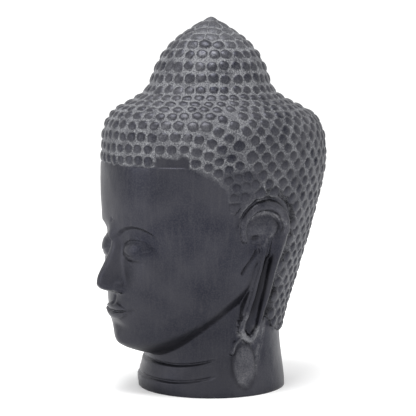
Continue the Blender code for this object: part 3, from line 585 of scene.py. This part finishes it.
def mouth_relief(x, z):
    """Closed lips with a bowed upper edge, the groove over them and the hollow under them."""
    middle = curve(x, ((0, 86.3), (5, 85.6), (12, 86.4), (25, 88.6), (30, 89.5)))
    upper = curve(x, ((0, 93.2), (5, 95.0), (12, 93.2), (25, 88.8), (30, 89.6)))
    lower = curve(x, ((0, 77.3), (8, 77.8), (17, 81.5), (25, 88.2), (30, 89.4)))
    up = np.clip((z - middle) / np.maximum(upper - middle, 0.3), 0.0, 1.0)
    down = np.clip((middle - z) / np.maximum(middle - lower, 0.3), 0.0, 1.0)
    span = 1 - ease(x, 20.0, 26.0)
    pillows = 2.6 * np.sqrt(4 * up * (1 - up)) + 3.4 * np.sqrt(4 * down * (1 - down))
    mound = 3.2 * hill(x, z, (0, 87), (28, 15))
    corner = 1.6 * hill(x, z, (27.0, 88.5), (2.6, 2.6))
    parting = 1.3 * groove(z - middle, 1.1) * (1 - ease(x, 24.0, 28.0))
    philtrum = 0.9 * groove(x, 2.2) * ease(z, 94.0, 96.0) * (1 - ease(z, 101.0, 105.0))
    return mound + pillows * span - corner - parting - philtrum


def face_relief(x, z):
    """Depth of the features over the plain face; x is the distance from its middle line."""
    chin = 4.2 * hill(x, z, (0, 57), (15, 10)) - 2.2 * hill(x, z, (0, 71.5), (15, 4))
    cheek = 3.2 * hill(x, z, (43, 120), (19, 23))
    pit = 1.2 * hill(x, z, BROW_MARK, (1.8, 1.8))
    return nose_relief(x, z) + eye_relief(x, z) + mouth_relief(x, z) + chin + cheek - pit


def outside_rim(y, z):
    """How far outside the upper ear's round edge a place is."""
    return np.hypot(y - EAR_CENTRE[0], z - EAR_CENTRE[1]) - HELIX_RADIUS


def helix_line():
    """Points along the middle of the ear's outer rim, and its half width at each."""
    turn = np.linspace(HELIX[0][0], HELIX[-1][0], HELIX_POINTS)
    width = np.interp(turn, *zip(*HELIX))
    y = EAR_CENTRE[0] + (HELIX_RADIUS - width) * np.cos(np.radians(turn))
    z = EAR_CENTRE[1] + (HELIX_RADIUS - width) * np.sin(np.radians(turn))
    return list(zip(y, z)), width


def ear_relief(y, z):
    """Height of the ear over its ground: a low body with the rim, ribs, domes and tragus on it."""
    away, along = along_line(y, z, EAR_BODY)
    width = np.interp(along, np.linspace(0, 1, len(BODY_WIDTH)), BODY_WIDTH)
    relief = BODY_RISE * (1 - ease(away - width, -BODY_EDGE, BODY_EDGE))
    rim_rise = RIM_RISE + RIM_MORE * ease(y, *RIM_FADE)
    relief = np.maximum(relief, rim_rise * rib(y, z, *helix_line(), RIM_FLATNESS))
    for line, half_width, rise, flatness in EAR_RIBS:
        relief = np.maximum(relief, rise * rib(y, z, line, half_width, flatness))
    for middle, size, rise, power in EAR_DOMES:
        relief = np.maximum(relief, rise * dome(y, z, middle, size, power))
    return np.maximum(relief, TRAGUS_RISE * hill(y, z, TRAGUS, TRAGUS_SIZE))


def ear_side(x, y, z):
    """How far from the head's middle the surface stands with the ear on it, where it was at x."""
    relief = ear_relief(y, z)
    raised = np.clip(curve(z, EAR_GROUND) + relief - x, 0.0, None) * ease(relief, *EAR_EDGE)
    slot = SLOT_DEPTH * rib(y, z, EAR_SLOT, SLOT_WIDTH) * ease(z, *SLOT_FADE)
    away, _ = along_line(y, z, EAR_CREASE)
    crease = CREASE_DEPTH * groove(away, CREASE_WIDTH)
    notch = NOTCH_DEPTH * hill(y, z, EAR_NOTCH, NOTCH_SIZE)
    over_rim = band(outside_rim(y, z), *OVER_RIM) * ease(z, *OVER_RIM_START)
    return x + raised - slot - crease - notch - over_rim


def place(theta, z):
    """The point of the finished skin at an angle and height, in parts, before the curls."""
    radius, hair = base_radius_at(theta, z)
    x, y = np.abs(radius * np.sin(theta)), -radius * np.cos(theta)
    front = (1 - ease(np.abs(theta), *FACE_END)) * (1 - hair)
    side = ease(np.abs(theta), *EAR_START) * (1 - ease(np.abs(theta), *EAR_END))
    y = y - face_relief(x, z) * front
    x = x + (ear_side(x, y, z) - x) * side
    return np.stack((x * np.sign(theta), y, z), axis=-1)


def arc_table():
    """Heights from the tip down, and the length of the hair's mean profile down to each."""
    z = PARTS_TALL * (1 - np.linspace(0, 1, ARC_STEPS) ** 2)
    mean = sum(hair_sizes(z)) / 3
    return z, np.concatenate(([0.0], np.cumsum(np.hypot(np.diff(z), np.diff(mean)))))


def height_at(arc):
    """Height of a place that lies the given arc below the tip."""
    heights, arcs = arc_table()
    return np.interp(arc, arcs, heights)


def ring(arc):
    """Angles over half a turn, and the way along the hair to each, for the arcs from the tip at them."""
    turn = np.linspace(0, math.pi, len(arc))
    z = height_at(arc)
    radius = section(turn, *hair_sizes(z))
    line = np.stack((radius * np.sin(turn), radius * np.cos(turn), z))
    return turn, np.concatenate(([0.0], np.cumsum(np.linalg.norm(np.diff(line, axis=1), axis=0))))


def row_arc(row, degrees):
    """Arc from the tip to a row of curls at an angle from the middle of the face."""
    past = np.clip(degrees - np.interp(row, *zip(*FAN_START)), 0, None) * (row > LEVEL_ROWS)
    return curve(row, ROW_PLACES) + FAN_FALL * past**2


def front_rows():
    """Angle, arc and row number of the curls that stand in rows, round the crown or over the brow."""
    degrees = np.linspace(0, 180, TURN_STEPS)
    for number in range(1, round(LAST_ROW + 0.5)):
        row = number + 0.5
        plain = SCALE_WIDTH + (CURL_WIDTH - SCALE_WIDTH) * ease(row, *SCALE_ROWS)
        width, first = FRONT_ROWS.get(row, (plain, 0.5 * (number % 2)))
        turn, way = ring(row_arc(row, degrees))
        if row < LEVEL_ROWS:
            width = 2 * way[-1] / round(2 * way[-1] / width)
        most = round(way[-1] / width) + 1
        along = (np.arange(-most, most) + first) * width
        along = along[(along > SAME_ANGLE - way[-1]) & (along < way[-1] + SAME_ANGLE)]
        theta = np.interp(np.abs(along), way, turn) * np.sign(along)
        if row > LEVEL_ROWS:
            theta = theta[np.degrees(np.abs(theta)) < FAN_END]
        yield theta, row_arc(row, np.degrees(np.abs(theta))), np.full(len(theta), row)


def side_rows():
    """The same of the curls behind the temples, in their diamond pattern."""
    turn, way = ring(np.full(TURN_STEPS, SIDE_WIDEST))
    start = np.interp(math.radians(SIDE_START), turn, way)
    step = (way[-1] - start) / SIDE_STEPS
    for number, arc in enumerate(np.arange(SIDE_TOP, arc_table()[1][-1], SIDE_PITCH)):
        columns = start + step * (np.arange(SIDE_STEPS + 1) + 0.5 * (number % 2))
        degrees = np.degrees(np.interp(columns[columns < way[-1] + SAME_ANGLE], way, turn))
        lean = np.clip(SIDE_LEAN * (number - UPRIGHT_ROWS), 0, MOST_LEAN) * (1 - ease(degrees, *LEAN_END))
        theta = np.radians(degrees - lean)
        theta = np.concatenate((theta, -theta[theta < math.pi - SAME_ANGLE]))
        yield theta, np.full(len(theta), arc), np.full(len(theta), LAST_ROW)


def moved_apart(theta, arc):
    """The same curls, with those that crowd each other moved apart."""
    for _ in range(CURL_EASING):
        radius = section(theta, *hair_sizes(height_at(arc)))
        turned = (theta[:, None] - theta + math.pi) % (2 * math.pi) - math.pi
        across = turned * (radius[:, None] + radius) / 2
        down = arc[:, None] - arc
        distance = np.hypot(across, down)
        np.fill_diagonal(distance, CURL_APART)
        push = np.clip(CURL_APART / distance - 1, 0, 1) / 4
        theta = theta + np.sum(push * across, axis=1) / radius
        arc = arc + np.sum(push * down, axis=1)
    return theta, arc


def curl_middles():
    """Angle, arc and row number of every curl, also of those outside the hair."""
    theta, arc, row = np.concatenate([np.stack(part) for part in (*front_rows(), *side_rows())], axis=1)
    radius = section(theta, *hair_sizes(height_at(arc)))
    side = row == LAST_ROW
    turned = (theta[side][:, None] - theta[~side] + math.pi) % (2 * math.pi) - math.pi
    distance = np.hypot(turned * radius[side][:, None], arc[side][:, None] - arc[~side])
    kept = np.ones(len(theta), bool)
    kept[side] = distance.min(axis=1) > CLASH_SHARE * CURL_APART
    theta, arc = moved_apart(theta[kept], arc[kept])
    return theta, arc, row[kept]


class Curls:
    """Where every curl stands, how large it is and which way it faces; the last is the tip's cap."""

    def __init__(self):
        theta, arc, row = curl_middles()
        chance = np.random.default_rng(SEED)
        luck = chance.random((len(theta) + 1, 5))
        z = height_at(arc + CURL_JITTER * (luck[:-1, 0] - 0.5))
        theta = theta + CURL_JITTER * (luck[:-1, 1] - 0.5) / np.maximum(section(theta, *hair_sizes(z)), 1.0)
        inside = hair_inside(theta, -section(theta, *hair_sizes(z)) * np.cos(theta), z)
        kept = (inside > CURL_WIDTH / 3) & (z > 0)
        theta, z = np.append(theta[kept], 0.0), np.append(z[kept], PARTS_TALL - CAP_BELOW_TIP)
        self.row = np.append(row[kept], CAP_ROW)
        luck = luck[np.append(kept, True)]
        self.middle = place(theta, z)
        south = place(theta, z - 0.5) - self.middle
        self.south = south / np.linalg.norm(south, axis=-1, keepdims=True)
        self.scale = 1 - ease(self.row, *SCALE_ROWS)
        self.radius = CURL_RADIUS + (SCALE_WIDTH / 2 + SCALE_REACH - CURL_RADIUS) * self.scale
        self.radius *= 1 + RADIUS_SPREAD * (luck[:, 2] - 0.5)
        self.radius *= np.clip(self.spacing() / CURL_WIDTH, *CURL_FIT)
        self.radius[-1] = CAP_RADIUS
        self.rise = CURL_RISE * (LOWEST_CURL + RISE_SPREAD * luck[:, 3]) * (1 - SCALE_LOWER * self.scale)
        self.rise[-1] = CAP_RISE
        self.luck = luck[:, 4]
        degrees = np.degrees(theta)
        self.lost = (self.row == BROW_ROW) & (degrees > BARE_STRIP[0]) & (degrees < BARE_STRIP[1])

    def nearest(self, spots, count):
        """The numbers of the curls nearest to each spot, the nearest first."""
        tree = KDTree(len(self.middle))
        for index, spot in enumerate(self.middle):
            tree.insert(spot, index)
        tree.balance()
        return np.array([[found[1] for found in tree.find_n(spot, count)] for spot in spots])

    def spacing(self):
        """Mean distance of each curl from the ones round it."""
        others = self.nearest(self.middle, NEIGHBOURS_ROUND + 1)[:, 1:]
        return np.linalg.norm(self.middle[others] - self.middle[:, None], axis=-1).mean(axis=1)

    def edges(self, spots):
        """How far inside its curl's edge each spot is, its reach from the middle, radii below, and curl."""
        near = self.nearest(spots, NEIGHBOURS)
        own = near[:, 0]
        cap = len(self.row) - 1
        offset = spots - self.middle[own]
        down = np.sum(offset * self.south[own], axis=-1)
        squash = 1 + (CURL_SQUASH - 1) * (self.row[own] < LAST_ROW) * (1 - self.scale[own])
        from_middle = np.sqrt(np.sum(offset**2, axis=-1) + (squash**2 - 1) * down**2)
        inside = self.radius[own] - from_middle
        beside, beneath = (curve(self.row[own], JOINTS, column) for column in (1, 2))
        for other in near[:, 1:].T:
            way = self.middle[other] - self.middle[own]
            apart = np.linalg.norm(way, axis=-1)
            below = np.abs(np.sum(way * self.south[own], axis=-1)) / apart
            joint = beside + (beneath - beside) * below
            joint = np.where((own == cap) | (other == cap), CAP_JOINT, joint)
            gap = apart / 2 - np.sum(offset * way, axis=-1) / apart - joint
            inside = -soft_max(-inside, -gap, CORNER_ROUNDING)
        inside = inside + CURL_UNEVEN * layered(spots, EDGE_NOISE)
        inside = np.where(self.lost[own], np.maximum(inside, down + LOST_REACH), inside)
        return inside, from_middle / (from_middle + np.maximum(inside, 0.01)), down / self.radius[own], own


def surface_grid():
    """Angle and height of each point of the grid, in rows spread evenly from tip to rim."""
    theta = np.linspace(-math.pi, math.pi, COLUMNS, endpoint=False)
    fine = PARTS_TALL * (1 - np.linspace(0, 1, PROFILE_STEPS) ** 2)
    angle, height = np.meshgrid(theta, fine, indexing="ij")
    radius, _ = base_radius_at(angle, height)
    steps = np.hypot(np.diff(radius, axis=1), np.diff(height, axis=1))
    way = np.concatenate((np.zeros((COLUMNS, 1)), np.cumsum(steps, axis=1)), axis=1)
    shares = np.linspace(0, 1, ROWS)
    z = np.stack([np.interp(shares * column[-1], column, fine) for column in way])
    return np.broadcast_to(theta[:, None], z.shape), z


def normals_of(points):
    """Directions square to a grid of points that closes round its first axis."""
    round_way = np.roll(points, -1, axis=0) - np.roll(points, 1, axis=0)
    down = np.gradient(points, axis=1)
    normal = np.cross(down, round_way)
    length = np.linalg.norm(normal, axis=-1, keepdims=True)
    return normal / np.maximum(length, LEAST_LENGTH)


def patch(degrees, z, span):
    """1 in a patch of the hair and 0 outside it."""
    start, end, top = span
    return ease(degrees, *start) * (1 - ease(degrees, *end)) * (1 - ease(z, *top))


def dust_strength(degrees, z):
    """How much dust is left between the curls: most on the crown, least on worn hair."""
    crown = ease(z, *CROWN_START)
    below = DUST_PLAIN + DUST_BROW * (1 - ease(degrees, *BROW_END))
    above = DUST_CROWN + DUST_CAP * ease(z, *CAP_START)
    strength = below * (1 - crown) + above * crown - DUST_OVER_EAR * patch(degrees, z, OVER_EAR)
    return strength * (1 - WORN_DUST * patch(degrees, z, WORN_HAIR))


def marked(y, z, lines, spots=()):
    """How strongly lines and spots mark a place."""
    total = np.zeros(np.shape(y))
    for line, width, strength in lines:
        away, _ = along_line(y, z, line)
        total = total + strength * groove(away, width)
    for middle, size, strength in spots:
        total = total + strength * hill(y, z, middle, size)
    return total


def ear_marks(y, z, left):
    """Wear with painted highlights, dust and painted shade on the ear and the hair beside it; left is true
    on the left.
    """
    rim = outside_rim(y, z)
    rubbed_and_highlit = marked(y, z, RUBBED_AND_HIGHLIT_LINES, RUBBED_SPOTS) + left * marked(y, z, RUBBED_LEFT)
    rubbed_and_highlit += LEAF_RUBBED * dome(y, z, LEAF, LEAF_SIZE, LEAF_POWER)
    rubbed_and_highlit += EAR_RUBBED * dome(y, z, CONCHA, CONCHA_SIZE, CONCHA_POWER)
    rubbed_and_highlit += EAR_RUBBED * rib(y, z, *helix_line(), RIM_FLATNESS)
    dusty = marked(y, z, DUSTY_LINES) + left * marked(y, z, DUSTY_LEFT)
    dusty += band(rim, *RIM_DUST) * ease(z, *RIM_DUST_START)
    from_slot, _ = along_line(y, z, EAR_SLOT)
    deep = (SLOT_LEAST + (1 - SLOT_LEAST) * ease(z, *SLOT_FULL)) * (1 - ease(z, *SLOT_TOP))
    from_leaf = np.hypot((y - LEAF[0]) / LEAF_SIZE[0], (z - LEAF[1]) / LEAF_SIZE[1]) - 1
    # Painted shade along the ear's strips, crease, notch and slot, round the leaf and over the rim
    dark = marked(y, z, DARK_LINES, DARK_SPOTS) + band(from_slot, *SLOT_DARK) * deep
    dark += band(from_leaf, *LEAF_DARK) + band(rim, *RIM_DARK) * ease(z, *RIM_DARK_START)
    return rubbed_and_highlit, dusty, dark


def hair_marks(spots, degrees, inside_hair, step, worn):
    """How high spots of the hair stand, their dust and painted shade, their share of the painted
    highlights, and their curls' luck.
    """
    curls = Curls()
    within, reach, down, own = curls.edges(spots)
    scale = curls.scale[own]
    luck = curls.luck[own]
    lost = curls.lost[own] * ease(within, *LOST_EDGE)
    near_line = (1 - ease(inside_hair, *SCALLOP)) * (1 - worn)

    lobe = np.clip(1 - reach**CURL_FLATNESS, 0.0, 1.0) ** RIB_FULLNESS
    height = curls.rise[own] * lobe * (1 - WORN_CURL * worn) * (1 - lost)
    height -= step * np.maximum(near_line * (1 - ease(within, *OFF_CURL)), LOST_DEPTH * lost)

    between = (1 - ease(within, *JOINT_DUST)) * (1 - near_line * ease(-within, *CLEAN_SKIN))
    ringed = RING_LEAST + band(within, *RING)
    smear = (SMEAR + SMEAR_MORE * ease(degrees, *SMEAR_SIDE)) * ease(down, *SMEAR_START) * (1 - lost)
    dust = between * ringed * (1 - SCALE_CLEAN * scale) + smear + SCALE_DUST * scale

    # Painted shade under the front rows' upper curl edges, round every curl and on the bare places
    upper = band(within, *UPPER_SHADE) * ease(-down, *UPPER_START) * ease(curls.row[own], *UPPER_ROWS)
    shade = upper + band(within, *OUTLINE) * (1 - lost) + LOST_SHADE * lost
    # Share of each curl that takes the painted highlights
    highlit = ease(within, *HIGHLIGHT_START) * (HIGHLIGHT_LEAST + (1 - HIGHLIGHT_LEAST) * luck)
    return height, dust, shade, highlit, luck


def carved_grid():
    """All points of the casting's outside, and the dust, wear with painted highlights, painted shade and
    tone of each.
    """
    theta, z = surface_grid()
    degrees = np.degrees(np.abs(theta))
    points = place(theta, z)
    hair_radius = section(theta, *hair_sizes(z))
    skin_radius = soft_max(face_radius(theta, z), neck_radius(theta, z), JAW_FILLET)
    inside_hair = hair_inside(theta, -hair_radius * np.cos(theta), z)
    step = np.clip(hair_radius - skin_radius, 0.0, HAIR_STEP)
    worn = patch(degrees, z, WORN_HAIR)
    _, hair = base_radius_at(theta, z)

    hairy = hair > 0
    carved = np.zeros((5, *z.shape))
    carved[-1] = BARE_LUCK
    carved[:, hairy] = hair_marks(*(grid[hairy] for grid in (points, degrees, inside_hair, step, worn)))
    height, dust, shade, highlit, luck = carved

    beside_ear = ease(degrees, *MARKS_START) * (1 - ease(degrees, *MARKS_END))
    rubbed_and_highlit, dusty, dark = (mark * beside_ear for mark in ear_marks(points[..., 1], z, theta > 0))
    patchy = np.clip(MEAN_DUST + layered(points, DUST_NOISE), *DUST_LIMITS)
    dust = np.clip(dust * dust_strength(degrees, z) * patchy * hair + dusty * patchy, 0.0, 1.0)
    # Painted highlights on the curls, added to the wear
    for middle, size in HIGHLIGHT_PATCHES:
        rubbed_and_highlit = rubbed_and_highlit + HIGHLIGHT_STRENGTH * highlit * hill(np.degrees(theta), z, middle, size) * hair
    rubbed_and_highlit = np.clip(rubbed_and_highlit * (MEAN_RUBBED_AND_HIGHLIT + layered(points, RUBBED_AND_HIGHLIT_NOISE)), 0.0, 1.0)
    # Painted shade: the ear's, the curls', and more low on the neck and face
    low = (1 - ease(z, *LOW_TOP)) * (1 - ease(degrees, *LOW_END)) * (1 - hair)
    dark = np.clip(dark + shade * hair + LOW_DARK * low, 0.0, 1.0)
    tone = TONE_LUCK * luck + TONE_LEAST + layered(points, TONE_NOISE)
    marks = np.stack((dust, rubbed_and_highlit, dark, tone), axis=-1)

    uneven = (layered(points, SKIN_NOISE) + layered(points, HAIR_NOISE) * hair) * ease(z, *EVEN_FOOT)
    return points + normals_of(points) * (height * hair + uneven)[..., None], marks


def closed_loft(rows):
    """A closed mesh of rings of COLUMNS points, with a point above the first and below the last."""
    column = np.arange(COLUMNS)
    beside = (column + 1) % COLUMNS
    start = (np.arange(rows - 1) * COLUMNS)[:, None]
    below = start + COLUMNS
    quads = np.stack((start + column, below + column, below + beside, start + beside), axis=-1)
    top = np.stack((np.full(COLUMNS, rows * COLUMNS), column, beside), axis=-1)
    last = (rows - 1) * COLUMNS
    bottom = np.stack((np.full(COLUMNS, rows * COLUMNS + 1), last + beside, last + column), axis=-1)
    corners = np.concatenate((quads.ravel(), top.ravel(), bottom.ravel()))
    sizes = np.concatenate((np.full((rows - 1) * COLUMNS, 4), np.full(2 * COLUMNS, 3)))
    mesh = bpy.data.meshes.new("buddha_head_cast")
    mesh.vertices.add(rows * COLUMNS + 2)
    mesh.loops.add(len(corners))
    mesh.loops.foreach_set("vertex_index", corners)
    mesh.polygons.add(len(sizes))
    mesh.polygons.foreach_set("loop_start", np.concatenate(([0], np.cumsum(sizes)[:-1])))
    mesh.polygons.foreach_set("use_smooth", np.ones(len(sizes), bool))
    return mesh


def cast_mesh():
    """The casting with its flat underside, and its patina's masks as a colour attribute."""
    grid, marks = carved_grid()
    inner = np.linspace(1.0, 0.0, BASE_RINGS + 1)[1:-1]
    rim = grid[:, -1:]
    base = rim * np.stack((inner, inner, 0 * inner), axis=-1)[None]
    rings = np.concatenate((grid[:, 1:], base), axis=1).transpose(1, 0, 2)
    plain = np.broadcast_to(marks[:, -1:], (COLUMNS, len(inner), marks.shape[-1]))
    colours = np.concatenate((marks[:, 1:], plain), axis=1).transpose(1, 0, 2)
    mesh = closed_loft(len(rings))
    points = np.concatenate((rings.reshape(-1, 3), grid[:1, 0], np.zeros((1, 3)))) * PART
    mesh.vertices.foreach_set("co", points.ravel())
    colours = np.concatenate((colours.reshape(-1, marks.shape[-1]), marks[:1, 0], marks[:1, -1]))
    mesh.color_attributes.new("patina", "FLOAT_COLOR", "POINT").data.foreach_set("color", colours.ravel())
    mesh.update()
    mesh.validate()
    return mesh


def added(name, data):
    """A new object in the scene."""
    thing = bpy.data.objects.new(name, data)
    bpy.context.scene.collection.objects.link(thing)
    return thing


def build_head():
    """The casting, thinned out, in place of the plain solid."""
    mesh = cast_mesh()
    head = added("buddha_head_cast", mesh)
    thinning = head.modifiers.new("thinning", "DECIMATE")
    thinning.ratio = TRIANGLES / (2 * len(mesh.polygons))
    thinning.use_collapse_triangulate = True
    head.data.materials.append(patina())
    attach(head, "root")
    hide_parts("buddha_head")


def link(tree, out, into):
    tree.links.new(out, into)


def noise_node(tree, where, scale, detail):
    """Noise over the given coordinates."""
    node = tree.nodes.new("ShaderNodeTexNoise")
    node.inputs["Scale"].default_value = scale
    node.inputs["Detail"].default_value = detail
    link(tree, where, node.inputs["Vector"])
    return node.outputs["Fac"]


def mixed(tree, share, a, b):
    """Two colours mixed by a share, each a plain colour or a node's output."""
    node = tree.nodes.new("ShaderNodeMix")
    node.data_type = "RGBA"
    link(tree, share, node.inputs["Factor"])
    for name, colour in (("A", a), ("B", b)):
        if isinstance(colour, tuple):
            node.inputs[name].default_value = (*colour, 1.0)
        else:
            link(tree, colour, node.inputs[name])
    return node.outputs["Result"]


def ranged(tree, value, source, target):
    """A value carried from one range to another."""
    node = tree.nodes.new("ShaderNodeMapRange")
    link(tree, value, node.inputs["Value"])
    for name, number in zip(("From Min", "From Max", "To Min", "To Max"), (*source, *target)):
        node.inputs[name].default_value = number
    return node.outputs["Result"]


def combined(tree, operation, a, b):
    """Two values added or multiplied."""
    node = tree.nodes.new("ShaderNodeMath")
    node.operation = operation
    link(tree, a, node.inputs[0])
    link(tree, b, node.inputs[1])
    return node.outputs["Value"]


def patina_masks(tree):
    """The metal's dust, wear with painted highlights, painted shade and tone, from the mesh's colour
    attribute.
    """
    marks = tree.nodes.new("ShaderNodeVertexColor")
    marks.layer_name = "patina"
    split = tree.nodes.new("ShaderNodeSeparateColor")
    link(tree, marks.outputs["Color"], split.inputs["Color"])
    return split.outputs["Red"], split.outputs["Green"], split.outputs["Blue"], marks.outputs["Alpha"]


def patina():
    """Dark patinated bronze with dust between its curls, worn edges, painted highlights and painted shade.
    """
    material = bpy.data.materials.new("patinated_bronze")
    material.use_nodes = True
    tree = material.node_tree
    shader = tree.nodes["Principled BSDF"]
    dusty, rubbed_and_highlit, dark, tone = patina_masks(tree)
    where = tree.nodes.new("ShaderNodeTexCoord").outputs["Object"]
    clouds = noise_node(tree, where, *CLOUDS)
    upright = tree.nodes.new("ShaderNodeMapping")
    upright.inputs["Scale"].default_value = (1.0, 1.0, STREAK_SQUEEZE)
    link(tree, where, upright.inputs["Vector"])
    streaks = noise_node(tree, upright.outputs["Vector"], *STREAKS)
    grain = noise_node(tree, where, *GRAIN)
    specks = noise_node(tree, where, *SPECKS)

    # Wear and painted highlights, broken up by the grain
    worn = combined(tree, "MULTIPLY", rubbed_and_highlit, ranged(tree, grain, (0.4, 0.55), (0.4, 1.0)))
    metal = mixed(tree, ranged(tree, clouds, (0.36, 0.66), (0, 1)), METAL_DARK, METAL_LIGHT)
    metal = mixed(tree, ranged(tree, streaks, (0.5, 0.75), (0, 0.3)), metal, STREAK)
    metal = mixed(tree, ranged(tree, grain, (0.42, 0.68), (0, 0.4)), metal, STREAK)
    metal = mixed(tree, ranged(tree, tone, (0.2, 0.9), (0, 0.45)), metal, CURL_LIGHT)
    metal = mixed(tree, worn, metal, RUBBED_AND_HIGHLIT)
    # Painted shade over the metal
    metal = mixed(tree, ranged(tree, dark, (0, 1), (0, 0.86)), metal, PAINTED_SHADE)
    share = combined(tree, "MULTIPLY", dusty, ranged(tree, grain, (0.35, 0.62), (0.3, 1.15)))
    dust_colour = mixed(tree, ranged(tree, specks, (0.4, 0.6), (0, 1)), DUST_DARK, DUST_LIGHT)
    link(tree, mixed(tree, share, metal, dust_colour), shader.inputs["Base Color"])

    gloss = ranged(tree, clouds, (0.3, 0.7), (0.34, 0.46))
    dull = combined(tree, "ADD", gloss, ranged(tree, share, (0, 1), (0, 0.45)))
    link(tree, dull, shader.inputs["Roughness"])
    link(tree, ranged(tree, share, (0, 0.8), (0.8, 0)), shader.inputs["Metallic"])
    shader.inputs["Specular IOR Level"].default_value = 0.3

    bump = tree.nodes.new("ShaderNodeBump")
    bump.inputs["Strength"].default_value = 0.3
    bump.inputs["Distance"].default_value = 0.0005
    link(tree, grain, bump.inputs["Height"])
    link(tree, bump.outputs["Normal"], shader.inputs["Normal"])
    return material


def floor():
    """A plain pale floor under the head."""
    bm = bmesh.new()
    bmesh.ops.create_grid(bm, x_segments=1, y_segments=1, size=FLOOR_SIZE)
    mesh = bpy.data.meshes.new("floor")
    bm.to_mesh(mesh)
    bm.free()
    ground = added("floor", mesh)
    material = bpy.data.materials.new("floor")
    material.use_nodes = True
    shader = material.node_tree.nodes["Principled BSDF"]
    shader.inputs["Base Color"].default_value = FLOOR_COLOUR
    shader.inputs["Roughness"].default_value = 0.9
    mesh.materials.append(material)


def aimed(thing, position, target):
    """Places a camera or lamp and turns it to its target."""
    thing.location = position
    thing.rotation_euler = (Vector(target) - Vector(position)).to_track_quat("-Z", "Y").to_euler()


def lamp(name, position, size, power):
    """A square soft lamp that shines on the head."""
    data = bpy.data.lights.new(name, "AREA")
    data.shape = "SQUARE"
    data.size = size
    data.energy = power
    aimed(added(name, data), position, (0, 0, HEIGHT / 2))


def studio():
    """The camera at the photograph's angle, the lamps and the white sky."""
    right = Vector((math.cos(CAMERA_TURN), math.sin(CAMERA_TURN), 0))
    toward = Vector((math.sin(CAMERA_TURN), -math.cos(CAMERA_TURN), 0))
    up = Vector((0, 0, 1))
    data = bpy.data.cameras.new("camera")
    data.lens = LENS
    data.sensor_width = 36.0
    camera = added("camera", data)
    aimed(camera, toward * CAMERA_AWAY + up * CAMERA_HEIGHT, right * AIM_ASIDE + up * AIM_HEIGHT)
    bpy.context.scene.camera = camera
    for name, ahead, aside, above, size, power in LAMPS:
        lamp(name, toward * ahead + right * aside + up * above, size, power)
    world = bpy.data.worlds.new("studio")
    world.use_nodes = True
    background = world.node_tree.nodes["Background"]
    background.inputs["Color"].default_value = (1.0, 1.0, 1.0, 1.0)
    background.inputs["Strength"].default_value = SKY
    bpy.context.scene.world = world
    bpy.context.scene.view_settings.view_transform = "Standard"


floor()
build_head()
studio()
